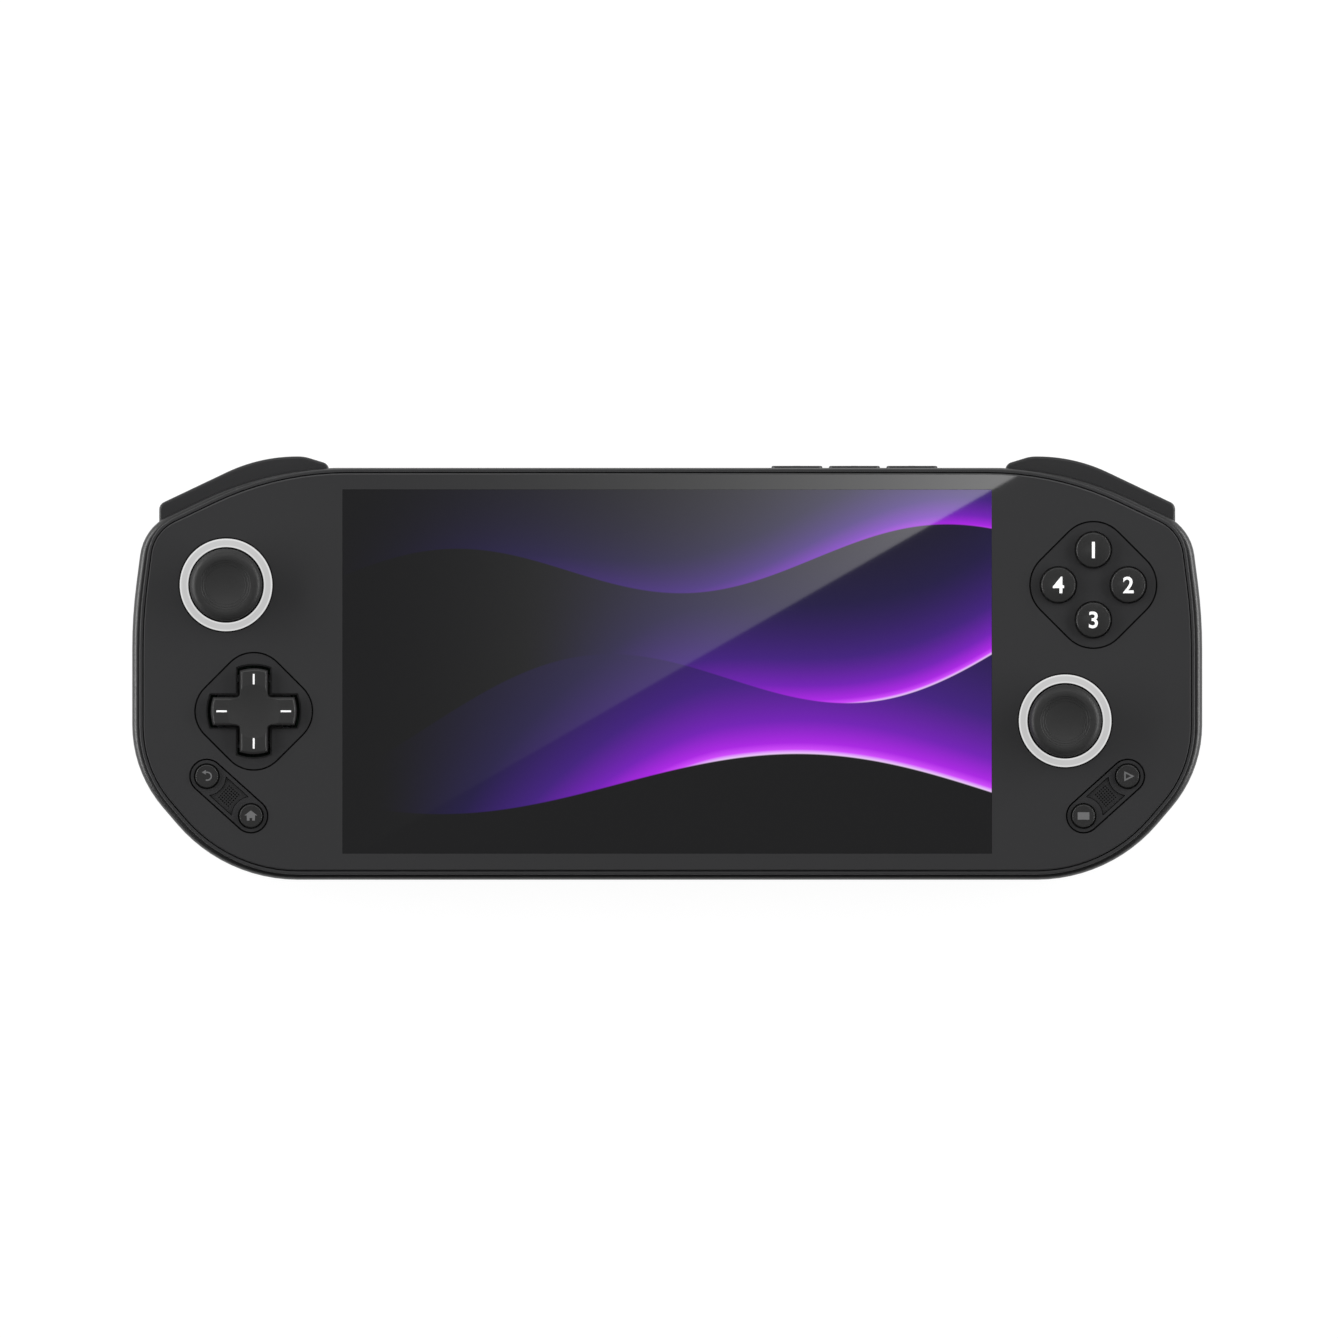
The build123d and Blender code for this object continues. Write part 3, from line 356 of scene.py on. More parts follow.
@dataclass(frozen=True)
class Ink(Finish):
    """Pad-printed ink: dense, even and a little satin, with a faint screen in it."""

    colour: str
    glow: float = 0.0
    screen_width: float = 0.25
    shades: Pair = (0.96, 1.0)

    def paint(self, tree: Tree) -> Inputs:
        """Paints a faint screen in the ink, and a painted glow that brightens it where glow is
        set.

        Args:
            tree: The material's node tree.

        Returns:
            What the Principled shader is fed.
        """
        place = add_node(tree, "TexCoord").outputs["Object"]
        fine = {"Vector": place, "Scale": 1 / (self.screen_width * MM), "Detail": 1.0}
        screen = add_node(tree, "TexNoise", {}, fine)
        dark, pale = (linear(self.colour, shade) for shade in self.shades)
        return {
            "Base Color": add_node(
                tree, "Mix", COLOURS, {0: screen, MIX_FIRST: dark, MIX_SECOND: pale}
            ),
            "Roughness": 0.5,
            "Specular IOR Level": 0.3,
            # Painted light: where glow is set, the ink glows brighter than the lamps light it.
            "Emission Color": linear(self.colour),
            "Emission Strength": self.glow,
        }


@dataclass(frozen=True)
class LightGuide(Finish):
    """Milky polycarbonate light guide that glows, with painted highlights: its two edges glow
    brighter than its middle.
    """

    centres: tuple[Pair, Pair]
    inner: float = 7.43
    outer: float = 9.07
    glow: float = 0.8
    body: str = "#5c5c5c"
    highlight_inner_half: tuple[tuple[float, str], ...] = (
        (0.0, "#ececec"),
        (0.14, "#e8e8e8"),
        (0.22, "#cbcbcb"),
    )

    def paint(self, tree: Tree) -> Inputs:
        """Paints the ring by its distance from the nearer stick.

        Args:
            tree: The material's node tree.

        Returns:
            What the Principled shader is fed.
        """
        place = add_node(tree, "TexCoord").outputs["Object"]
        plan = {0: place, 1: (1.0, 1.0, 0.0)}
        flat = add_node(tree, "VectorMath", {"operation": "MULTIPLY"}, plan)
        reach = [
            add_node(tree, "VectorMath", {"operation": "DISTANCE"}, {0: flat, 1: (*centre, 0.0)})
            for centre in self.centres
        ]
        near = add_node(tree, "Math", {"operation": "MINIMUM"}, {0: reach[0], 1: reach[1]})
        width = {"Value": near, "From Min": self.inner * MM, "From Max": self.outer * MM}
        across = add_node(tree, "MapRange", {}, width)
        # Painted highlight: the glow is brighter at the ring's two edges than in its middle.
        ramp = add_node(tree, "ValToRGB", {}, {"Fac": across})
        highlight_outer_half = tuple((1 - spot, colour) for spot, colour in reversed(self.highlight_inner_half))
        set_stops(ramp, self.highlight_inner_half + highlight_outer_half)
        return {
            "Base Color": linear(self.body),
            "Emission Color": ramp,
            "Emission Strength": self.glow,
            "Roughness": 0.4,
            "Specular IOR Level": 0.3,
        }


@dataclass(frozen=True)
class Ribbon:
    """One wave of the picture: its lit lower edge, in millimetres, and how it fades above it."""

    height: float
    swing: float
    wavelength: float
    phase: float
    slope: float
    fade: float
    start: float
    full: float


@dataclass(frozen=True)
class PictureGlass(Finish):
    """Hardened display glass with the lit picture right behind it: soft violet waves on black."""

    ribbons: tuple[Ribbon, ...]
    body: str = "#040404"
    dark: str = "#1b1b1c"
    tones: tuple[tuple[float, str], ...] = (
        (0.16, "#241c46"),
        (0.42, "#43207f"),
        (0.68, "#7420b8"),
        (0.88, "#ac26e6"),
        (0.95, "#d24bff"),
        (1.0, "#f3d6ff"),
    )
    edge_width: float = 0.12

    def paint(self, tree: Tree) -> Inputs:
        """Paints the picture as emission under the glass's own polish.

        Args:
            tree: The material's node tree.

        Returns:
            What the Principled shader is fed.
        """
        place = add_node(tree, "TexCoord").outputs["Object"]
        scaled = add_node(tree, "VectorMath", {"operation": "SCALE"}, {0: place, "Scale": 1 / MM})
        axes = add_node(tree, "SeparateXYZ", {}, {0: scaled}).outputs
        across, up = axes["X"], axes["Y"]
        shown: Node | Colour = linear(self.dark)
        for ribbon in self.ribbons:
            shown = self.lay(tree, ribbon, across, up, shown)
        return {
            "Base Color": linear(self.body),
            "Emission Color": shown,
            "Emission Strength": 1.0,
            "Roughness": 0.3,
            "Specular IOR Level": 0.1,
            "Coat Weight": 1.0,
            "Coat Roughness": 0.015,
        }

    def lay(
        self, tree: Tree, ribbon: Ribbon, across: Socket, up: Socket, under: Node | Colour
    ) -> Node:
        """Lays one wave over the picture so far.

        Args:
            tree: The material's node tree.
            ribbon: The wave.
            across: Millimetres along X.
            up: Millimetres along Y.
            under: The picture below the wave.

        Returns:
            The picture with the wave on it.
        """
        scale_and_add = {"operation": "MULTIPLY_ADD"}
        phased = {0: across, 1: math.tau / ribbon.wavelength, 2: ribbon.phase}
        turn = add_node(tree, "Math", scale_and_add, phased)
        wave = add_node(tree, "Math", {"operation": "SINE"}, {0: turn})
        swing = add_node(
            tree, "Math", scale_and_add, {0: wave, 1: ribbon.swing, 2: ribbon.height}
        )
        edge = add_node(tree, "Math", scale_and_add, {0: across, 1: ribbon.slope, 2: swing})
        above = add_node(tree, "Math", {"operation": "SUBTRACT"}, {0: up, 1: edge})
        low, high = about(0.0, self.edge_width)
        inside = add_node(
            tree, "MapRange", {}, {"Value": above, "From Min": low, "From Max": high}
        )
        fall = add_node(tree, "Math", {"operation": "MULTIPLY"}, {0: above, 1: -1 / ribbon.fade})
        fading = {"operation": "EXPONENT", "use_clamp": True}
        decay = add_node(tree, "Math", fading, {0: fall})
        lit_part = {"Value": across, "From Min": ribbon.start, "From Max": ribbon.full}
        along = add_node(tree, "MapRange", {"interpolation_type": "SMOOTHSTEP"}, lit_part)
        lit = add_node(tree, "Math", {"operation": "MULTIPLY"}, {0: decay, 1: along})
        ramp = add_node(tree, "ValToRGB", {}, {"Fac": lit})
        set_stops(ramp, ((0.0, self.dark), *self.tones))
        return add_node(tree, "Mix", COLOURS, {0: inside, MIX_FIRST: under, MIX_SECOND: ramp})


@dataclass(frozen=True)
class WovenScreen(Finish):
    """Black polyester gauze: threads round small openings on a square grid, with the openings
    painted near black as the shade seen through them.
    """

    colour: str
    opening_shade_colour: str
    pitch: float
    opening_share: float = 0.3
    edge_share: float = 0.05
    thread_depth: float = 0.06

    def paint(self, tree: Tree) -> Inputs:
        """Paints the openings as painted shade, by the distance from the middle of each grid
        square.

        Args:
            tree: The material's node tree.

        Returns:
            What the Principled shader is fed.
        """
        place = add_node(tree, "TexCoord").outputs["Object"]
        steps = {0: place, "Scale": 1 / (self.pitch * MM)}
        grid = add_node(tree, "VectorMath", {"operation": "SCALE"}, steps)
        square = add_node(tree, "VectorMath", {"operation": "FRACTION"}, {0: grid})
        plan = {0: square, 1: (1.0, 1.0, 0.0)}
        flat = add_node(tree, "VectorMath", {"operation": "MULTIPLY"}, plan)
        middle = {0: flat, 1: (0.5, 0.5, 0.0)}
        reach = add_node(tree, "VectorMath", {"operation": "DISTANCE"}, middle)
        low, high = about(self.opening_share, self.edge_share)
        thread = add_node(
            tree, "MapRange", {}, {"Value": reach, "From Min": low, "From Max": high}
        )
        # Painted shade: the openings are coloured near black for the dark seen through them.
        hole_shade, yarn = linear(self.opening_shade_colour), linear(self.colour)
        relief = {"Height": thread, "Distance": self.thread_depth * MM}
        return {
            "Base Color": add_node(
                tree, "Mix", COLOURS, {0: thread, MIX_FIRST: hole_shade, MIX_SECOND: yarn}
            ),
            "Roughness": 0.6,
            "Normal": add_node(tree, "Bump", {}, relief),
            "Specular IOR Level": 0.3,
        }


@dataclass(frozen=True)
class PrintedBoard(Finish):
    """Glass-epoxy board under solder mask: tracks show as slightly paler lines in the green."""

    colour: str = "#12301f"
    track_colour: str = "#1d4830"
    track_pitch: float = 1.1
    track_edge: Pair = (0.05, 0.09)
    track_depth: float = 0.02
    waver: float = 0.55

    def paint(self, tree: Tree) -> Inputs:
        """Paints tracks as the edges of cells.

        Args:
            tree: The material's node tree.

        Returns:
            What the Principled shader is fed.
        """
        place = add_node(tree, "TexCoord").outputs["Object"]
        grid = {"Vector": place, "Scale": 1 / (self.track_pitch * MM), "Randomness": self.waver}
        reach = add_node(tree, "TexVoronoi", {"feature": "DISTANCE_TO_EDGE"}, grid)
        low, high = self.track_edge
        line = add_node(tree, "MapRange", {}, {"Value": reach, "From Min": low, "From Max": high})
        track, mask = linear(self.track_colour), linear(self.colour)
        relief = {"Height": line, "Distance": self.track_depth * MM}
        return {
            "Base Color": add_node(
                tree, "Mix", COLOURS, {0: line, MIX_FIRST: track, MIX_SECOND: mask}
            ),
            "Roughness": 0.35,
            "Normal": add_node(tree, "Bump", {"invert": True}, relief),
        }


def middle_of(node: str) -> Vector:
    """Returns the middle of a CAD node's box."""
    low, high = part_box(node)
    return (low + high) / 2


def top_of(node: str) -> Vector:
    """Returns the middle of the top of a CAD node's box."""
    middle = middle_of(node)
    return Vector((middle.x, middle.y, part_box(node)[1].z))


def flat_pair(*nodes: str) -> tuple[Pair, ...]:
    """Returns the plan places of the nodes' middles."""
    return tuple((middle_of(node).x, middle_of(node).y) for node in nodes)


# Sprayed and clear-lacquered polycarbonate: a flat deep grey under a sharp thin reflection.
LACQUERED_PANEL = MouldedPlastic(
    "lacquered_polycarbonate",
    "#313132",
    0.5,
    0.5,
    0.0006,
    specular=0.2,
    coat=1.0,
    coat_roughness=0.015,
    mottle=0.015,
)
# Satin polycarbonate: the panel's grey without its reflection.
SATIN_PLATE = MouldedPlastic(
    "satin_polycarbonate", "#2e2e2f", 0.42, 0.35, 0.003, specular=0.35, mottle=0.03
)
# Grey ABS rim over painted shade on the deck, which darkens the gaps: a thin grey line of light
# round the panel.
GREY_RIM_OVER_SHADED_DECK = ShellRim(
    "grey_abs_rim_over_shaded_deck", "#353536", 0.45, 0.35, 0.003, specular=0.25, mottle=0.03
)
# Spark-eroded black ABS: a matt grain that spreads every highlight into a soft band.
GRAINED_SHELL = MouldedPlastic(
    "spark_eroded_black_abs", "#161617", 0.38, 0.45, 0.012, specular=0.75, mottle=0.06
)
# Satin ABS: bumpers a touch smoother than the shell beside them.
SATIN_BUMPER = MouldedPlastic(
    "satin_abs_bumper", "#2e2e2f", 0.4, 0.35, 0.006, specular=0.4, mottle=0.04
)
# Polished ABS: a smooth crown with a crisp line of light at its edge.
POLISHED_BUTTON = MouldedPlastic(
    "polished_abs_button", "#2d2d2d", 0.22, 0.6, 0.0004, specular=0.5, mottle=0.03
)
# Polished ABS of the pad: a softer line of light along the ends of its arms.
POLISHED_PAD = MouldedPlastic(
    "polished_abs_direction_pad", "#303030", 0.3, 0.6, 0.0004, specular=0.45, mottle=0.03
)
# Acetal: dense, black and slightly waxy.
ACETAL = MouldedPlastic("black_acetal", "#1c1c1e", 0.35, 0.6, 0.004)
# Glass-filled nylon: dull black with a dry grain.
SPEAKER_PLASTIC = MouldedPlastic("black_glass_filled_nylon", "#151516", 0.55, 0.4, 0.01)
# Laminated foil pouch: creased grey with broken highlights.
BATTERY_FILM = MouldedPlastic(
    "laminated_pouch_film", "#2b2c30", 0.3, 2.5, 0.03, specular=0.6, mottle=0.1
)
# Polariser: a near-black film with a clear reflection.
POLARISER = MouldedPlastic("polariser_film", "#101014", 0.12, 0.8, 0.001, mottle=0.02)
# Powder-coated perforated steel: dull black, so that its pinholes read as texture.
PERFORATED_STEEL = MouldedPlastic(
    "powder_coated_steel", "#262627", 0.5, 0.25, 0.01, specular=0.35
)
# Thermoplastic rubber: dark, with a broad soft highlight round the cap.
STICK_RUBBER = SoftRubber("thermoplastic_rubber_cap", "#2f2f2f", 0.45, sheen=0.03, specular=0.3)
# Silicone: matt black, broken up by rows of dimples.
GRIP_RUBBER = SoftRubber(
    "dimpled_silicone_grip", "#1b1b1d", 0.6, dimple_pitch=1.3, dimple_depth=0.22
)
# Unfilled silicone: pale and milky.
MEMBRANE = SoftRubber("milky_silicone_rubber", "#b4b8bc", 0.5, sheen=0.2)
# Blackened steel: screw heads that only glint.
BLACKENED_SCREW = WorkedMetal("blackened_steel", "#3c3c3f", 0.35)
# Tinned steel: a soft grey shine drawn out along X and Z.
STAMPED_SHIELD = WorkedMetal("stamped_tinned_steel", "#9a9ca0", 0.32, (1.2, 0.08, 1.2))
# Stainless steel off the lathe: bright, with fine turning marks.
TURNED_STEEL = WorkedMetal("turned_stainless_steel", "#a5a7aa", 0.25, (1.2, 1.2, 0.08))
# Stamped stainless steel: the bright thin edge round each port.
STAMPED_SOCKET = WorkedMetal("stamped_stainless_steel", "#a9abae", 0.28, (1.2, 0.08, 1.2))
# Gold plate: warm yellow glints in the dark port.
GOLD_CONTACT = WorkedMetal("gold_plated_contact", "#d8b162", 0.25, (0.05, 0.4, 0.4))
# White ink with a faint painted glow that brightens it: the brightest marks on the face.
WHITE_INK = Ink("white_pad_print", "#f4f4f4", 0.25)
# Grey ink: signs that stay quiet on the small buttons.
GREY_INK = Ink("grey_pad_print", "#6e6e6f")
# Solder mask: deep green with paler tracks.
BOARD = PrintedBoard("green_solder_mask")
# Milky light guide: an even white glowing ring, with painted highlights that brighten its edges.
LIGHT_RING = LightGuide("milky_polycarbonate", flat_pair("left_stick_ring", "right_stick_ring"))
# Polyester gauze: a fine black weave behind the vents, with painted shade in its openings.
DUST_SCREEN = WovenScreen("woven_polyester_gauze", "#1d1d1f", "#020202", 0.8)
# Display glass: violet waves under a mirror-smooth surface.
PICTURE = PictureGlass(
    "display_glass_over_picture",
    (
        Ribbon(-23.0, 7.0, 150.0, 0.4, -0.03, 17.0, -58.0, 12.0),
        Ribbon(-4.0, 9.0, 118.0, 2.5, 0.16, 11.0, -30.0, 44.0),
        Ribbon(20.0, 5.5, 96.0, 4.4, 0.05, 7.0, -70.0, 90.0),
    ),
)


def rest_selection() -> None:
    """Leaves edit mode and deselects every object."""
    if bpy.context.mode != "OBJECT":
        bpy.ops.object.mode_set(mode="OBJECT")
    bpy.ops.object.select_all(action="DESELECT")


def make_active(thing: Thing) -> None:
    """Leaves edit mode and selects one piece alone.

    Args:
        thing: The piece.
    """
    rest_selection()
    thing.select_set(True)
    bpy.context.view_layer.objects.active = thing


def edit(thing: Thing, mode: str = "FACE", whole: bool = False) -> bmesh.types.BMesh:
    """Opens a piece in edit mode.

    Args:
        thing: The piece.
        mode: What is selected there: VERT, EDGE or FACE.
        whole: Whether all of it is selected, and not nothing.

    Returns:
        The mesh that edit mode works on.
    """
    if bpy.context.mode != "EDIT_MESH":
        bpy.context.view_layer.objects.active = thing
        bpy.ops.object.mode_set(mode="EDIT")
    bpy.ops.mesh.select_mode(type=mode)
    bpy.ops.mesh.select_all(action="SELECT" if whole else "DESELECT")
    return bmesh.from_edit_mesh(thing.data)


def pick_faces(thing: Thing, wanted: Callable[[Vector, Vector], bool]) -> None:
    """Selects the faces of a piece whose middle and normal pass a test.

    Args:
        thing: The piece.
        wanted: The test, given the middle in metres and the normal.
    """
    mesh = edit(thing)
    for face in mesh.faces:
        face.select_set(wanted(thing.matrix_world @ face.calc_center_median(), face.normal))
    bmesh.update_edit_mesh(thing.data)


def pick_edges(thing: Thing, wanted: Callable[[Vector, Vector], bool]) -> None:
    """Selects the edges of a piece whose two ends pass a test.

    Args:
        thing: The piece.
        wanted: The test, given both ends in metres.
    """
    mesh = edit(thing, "EDGE")
    for edge in mesh.edges:
        edge.select_set(wanted(*(thing.matrix_world @ vertex.co for vertex in edge.verts)))
    bmesh.update_edit_mesh(thing.data)


def extrude(x: float, y: float, z: float) -> None:
    """Extrudes what is selected by millimetres along the axes."""
    bpy.ops.mesh.extrude_region_move(TRANSFORM_OT_translate={"value": (x * MM, y * MM, z * MM)})


def stretch(x: float, y: float, centre: Vector) -> None:
    """Scales what is selected along X and Y about a point."""
    bpy.ops.transform.resize(value=(x, y, 1), center_override=centre)


def drop_faces() -> None:
    """Deletes the selected faces and leaves edit mode."""
    bpy.ops.mesh.delete(type="FACE")
    rest_selection()


def flat_plate(place: Vector, width: float, depth: float, turn: float = 0.0) -> Thing:
    """Makes a flat rectangle that faces up.

    Args:
        place: Its middle in metres.
        width: Millimetres along X.
        depth: Millimetres along Y.
        turn: How far it is turned about Z, in radians.

    Returns:
        The rectangle.
    """
    rest_selection()
    bpy.ops.mesh.primitive_plane_add(size=MM, location=place, rotation=(0, 0, turn))
    plate = bpy.context.object
    plate.scale = (width, depth, 1)
    bpy.ops.object.transform_apply(location=False, rotation=True, scale=True)
    return plate


def flat_triangle(place: Vector, radius: float, turn: float) -> Thing:
    """Makes a flat even triangle that faces up.

    Args:
        place: Its middle in metres.
        radius: Millimetres from there to its corners.
        turn: How far it is turned about Z, in radians.

    Returns:
        The triangle.
    """
    rest_selection()
    bpy.ops.mesh.primitive_circle_add(
        vertices=3, radius=radius * MM, fill_type="NGON", location=place, rotation=(0, 0, turn)
    )
    return bpy.context.object


def apply_all(thing: Thing) -> None:
    """Applies every modifier of a piece, in order.

    Args:
        thing: The piece.
    """
    make_active(thing)
    for modifier in list(thing.modifiers):
        bpy.ops.object.modifier_apply(modifier=modifier.name)


def thicken(thing: Thing, height: float, bevel: float = 0.0) -> Thing:
    """Raises a flat piece into a plate with an eased upper edge.

    Args:
        thing: The flat piece, facing up.
        height: Its thickness in millimetres.
        bevel: Width of the eased edge in millimetres.

    Returns:
        The piece.
    """
    edit(thing, whole=True)
    extrude(0, 0, height)
    bpy.ops.mesh.select_all(action="SELECT")
    bpy.ops.mesh.normals_make_consistent(inside=False)
    rest_selection()
    if bevel:
        rounding = thing.modifiers.new("eased_edge", "BEVEL")
        rounding.width = bevel * MM
        rounding.segments = 2
        rounding.limit_method = "ANGLE"
        rounding.angle_limit = BEVEL_ANGLE
        apply_all(thing)
    return thing


def settle(thing: Thing, name: str, smooth: bool = True) -> Thing:
    """Names a finished piece and puts its place into its mesh.

    Args:
        thing: The piece.
        name: Its name.
        smooth: Whether its shallow edges are shaded smooth.

    Returns:
        The piece, deselected.
    """
    make_active(thing)
    bpy.ops.object.transform_apply(location=True, rotation=True, scale=True)
    if smooth:
        bpy.ops.object.shade_smooth_by_angle(angle=SMOOTH_ANGLE)
    thing.name = name
    thing.data.name = name
    rest_selection()
    return thing


def turned_ring(name: str, centre: Vector, profile: Sequence[Pair], steps: int) -> Thing:
    """Turns a closed ring about the vertical through a point.

    Args:
        name: The piece's name.
        centre: The point that heights start from.
        profile: Corners of the section as radius and height in millimetres, in order.
        steps: How many sides the ring has.

    Returns:
        The ring.
    """
    rest_selection()
    radius, height = profile[0]
    start = centre + Vector((0, 0, height * MM))
    bpy.ops.mesh.primitive_circle_add(vertices=steps, radius=radius * MM, location=start)
    ring = bpy.context.object
    edit(ring, "EDGE", whole=True)
    for (radius, height), (wider, higher) in zip(profile, profile[1:]):
        extrude(0, 0, higher - height)
        stretch(wider / radius, wider / radius, centre + Vector((0, 0, higher * MM)))
    mesh = edit(ring, "EDGE")
    for edge in mesh.edges:
        edge.select_set(edge.is_boundary)
    bmesh.update_edit_mesh(ring.data)
    bpy.ops.mesh.bridge_edge_loops()
    bpy.ops.mesh.select_all(action="SELECT")
    bpy.ops.mesh.normals_make_consistent(inside=False)
    return settle(ring, name)


@dataclass
class Piece:
    """A new piece with the body that it rides on, its finish and the record's slot for it."""

    thing: Thing
    body: str
    finish: Finish
    slot: str


@dataclass
class Assembly:
    """A sub-assembly: finishes of its CAD nodes, and the pieces that are added to them."""

    finishes: dict[str, Finish] = field(default_factory=dict)
    pieces: list[Piece] = field(default_factory=list)

    def build(self) -> None:
        """Makes the new pieces. A sub-assembly of CAD nodes alone has none."""

    def dress(self) -> None:
        """Gives every CAD node and new piece its finish, and every new piece its body."""
        for node, finish in self.finishes.items():
            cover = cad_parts[node].data.materials
            cover.clear()
            cover.append(finish.material())
            LOG.info("dressed %s in %s", node, finish.name)
        for piece in self.pieces:
            piece.thing.data.materials.clear()
            piece.thing.data.materials.append(piece.finish.material())
            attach(piece.thing, piece.body)
            LOG.info("made %s on %s", piece.thing.name, piece.body)

    def wear(self, finish: Finish, *nodes: str) -> None:
        """Chooses the finish of CAD nodes."""
        self.finishes |= dict.fromkeys(nodes, finish)

    def add(self, thing: Thing, body: str, finish: Finish, slot: str) -> None:
        """Keeps a finished piece for dressing."""
        self.pieces.append(Piece(thing, body, finish, slot))


@dataclass
class Case(Assembly):
    """Shells, panel, grips, screws and the dust screen behind the vents."""

    screen_width: float = 34.0
    screen_depth: float = 15.0
    screen_height: float = 4.66
    screen_thickness: float = 0.12
    screen_middle: float = -22.9

    def build(self) -> None:
        """Makes the dust screen on the floor of the rear cover."""
        self.wear(GRAINED_SHELL, "rear_cover")
        self.wear(GREY_RIM_OVER_SHADED_DECK, "front_cover")
        self.wear(LACQUERED_PANEL, "front_panel")
        self.wear(GRIP_RUBBER, "left_grip", "right_grip")
        self.wear(BLACKENED_SCREW, "case_screws")
        place = Vector((0, self.screen_middle, self.screen_height)) * MM
        screen = thicken(
            flat_plate(place, self.screen_width, self.screen_depth), self.screen_thickness
        )
        self.add(settle(screen, "vent_dust_screen"), "console", DUST_SCREEN, "mesh_black")


@dataclass
class Display(Assembly):
    """Glass with the lit picture, and the display module behind it."""

    def build(self) -> None:
        """Chooses the finishes: the display has no pieces of its own here."""
        self.wear(PICTURE, "display_glass")
        self.wear(POLARISER, "display_panel")
        self.wear(STAMPED_SHIELD, "display_frame")


@dataclass
class ThumbStick(Assembly):
    """A thumb stick: lit ring, rubber cap with tread rings, ribbed rim, and its inner pieces."""

    side: Side = Side.LEFT
    dish_radius: float = 5.1
    dish_depth: float = 0.8
    tread_radii: tuple[float, ...] = (3.9, 4.4, 4.84)
    tread_width: float = 0.16
    tread_height: float = 0.05
    tread_root: float = 0.05
    tread_steps: int = 96
    rim_radius: float = 7.05
    rim_height: float = 2.4
    rib_low: float = 0.45
    rib_high: float = 0.85
    rib_count: int = 60
    rib_depth: float = 0.07
    rib_inset: float = 0.04
    rib_root: float = 0.3
    rib_lift: float = 0.01

    def dish_drop(self, radius: float) -> float:
        """Returns how far the dish lies under the cap's top at a radius, in millimetres."""
        ball = (self.dish_radius**2 + self.dish_depth**2) / (2 * self.dish_depth)
        return self.dish_depth - ball + math.sqrt(ball**2 - radius**2)

    def build(self) -> None:
        """Makes the tread rings in the dish and the ribs round the rim."""
        stick = f"{self.side.label}_stick"
        self.wear(LIGHT_RING, f"{stick}_ring")
        self.wear(STICK_RUBBER, f"{stick}_cap")
        self.wear(TURNED_STEEL, f"{stick}_shaft")
        self.wear(ACETAL, f"{stick}_base", f"{stick}_carrier", f"{stick}_yoke")
        crown = top_of(f"{stick}_cap")
        for number, radius in enumerate(self.tread_radii, 1):
            ring = self.tread(f"{stick}_tread_{number}", crown, radius)
            self.add(ring, stick, STICK_RUBBER, "stick_rubber")
        self.add(self.ribs(f"{stick}_ribs", crown), stick, STICK_RUBBER, "stick_rubber")

    def tread(self, name: str, crown: Vector, radius: float) -> Thing:
        """Makes one raised ring in the dish.

        Args:
            name: The ring's name.
            crown: Middle of the cap's top.
            radius: The ring's middle radius in millimetres.

        Returns:
            The ring.
        """
        half = self.tread_width / 2
        inner, outer = radius - half, radius + half
        low, high = (-self.dish_drop(edge) - self.tread_root for edge in (inner, outer))
        lift = self.tread_height + self.tread_root
        corners = [
            (inner, low),
            (inner + half / 2, low + lift),
            (outer - half / 2, high + lift),
            (outer, high),
        ]
        return turned_ring(name, crown, corners, self.tread_steps)

    def ribs(self, name: str, crown: Vector) -> Thing:
        """Makes the band of fine upright ribs under the cap's rounded edge.

        Args:
            name: The band's name.
            crown: Middle of the cap's top.

        Returns:
            The band.
        """
        inner, outer = self.rim_radius - self.rib_root, self.rim_radius + self.rib_lift
        low, high = self.rib_low - self.rim_height, self.rib_high - self.rim_height
        corners = [(inner, low), (outer, low), (outer, high), (inner, high)]
        band = turned_ring(name, crown, corners, 2 * self.rib_count)
        step = math.pi / self.rib_count
        least = (self.rim_radius - self.rib_root / 2) * MM

        def outer_and_odd(middle: Vector, normal: Vector) -> bool:
            """Tells whether a face looks outwards and stands in an odd column.

            Args:
                middle: The face's middle in metres.
                normal: The face's normal.

            Returns:
                Whether it does.
            """
            away = Vector((middle.x - crown.x, middle.y - crown.y))
            column = int(math.atan2(away.y, away.x) % math.tau / step)
            return abs(normal.z) < 0.5 and away.length > least and column % 2 == 1

        pick_faces(band, outer_and_odd)
        bpy.ops.mesh.inset(
            thickness=self.rib_inset * MM, depth=self.rib_depth * MM, use_individual=True
        )
        return settle(band, name, smooth=False)


@dataclass
class DirectionPad(Assembly):
    """The cross-shaped pad with a white dash on each arm."""

    dash_length: float = 2.05
    dash_width: float = 0.36
    dash_reach: float = 6.3
    dash_height: float = 0.06
    dash_bevel: float = 0.02

    def build(self) -> None:
        """Makes the four dashes."""
        self.wear(POLISHED_PAD, "dpad")
        self.wear(SATIN_PLATE, "dpad_bezel")
        self.wear(TURNED_STEEL, "dpad_pivot")
        self.wear(MEMBRANE, "dpad_membrane")
        for quarter, name in enumerate(("right", "up", "left", "down")):
            turn = quarter * math.pi / 2
            reach = self.dash_reach
            away = Vector((reach * math.cos(turn), reach * math.sin(turn), -SUNK)) * MM
            dash = flat_plate(top_of("dpad") + away, self.dash_length, self.dash_width, turn)
            thicken(dash, self.dash_height, self.dash_bevel)
            self.add(settle(dash, f"dpad_dash_{name}"), "dpad", WHITE_INK, "ring_light")


class Corner(Enum):
    """The four face buttons with the numeral on each."""

    TOP = "1"
    RIGHT = "2"
    BOTTOM = "3"
    LEFT = "4"


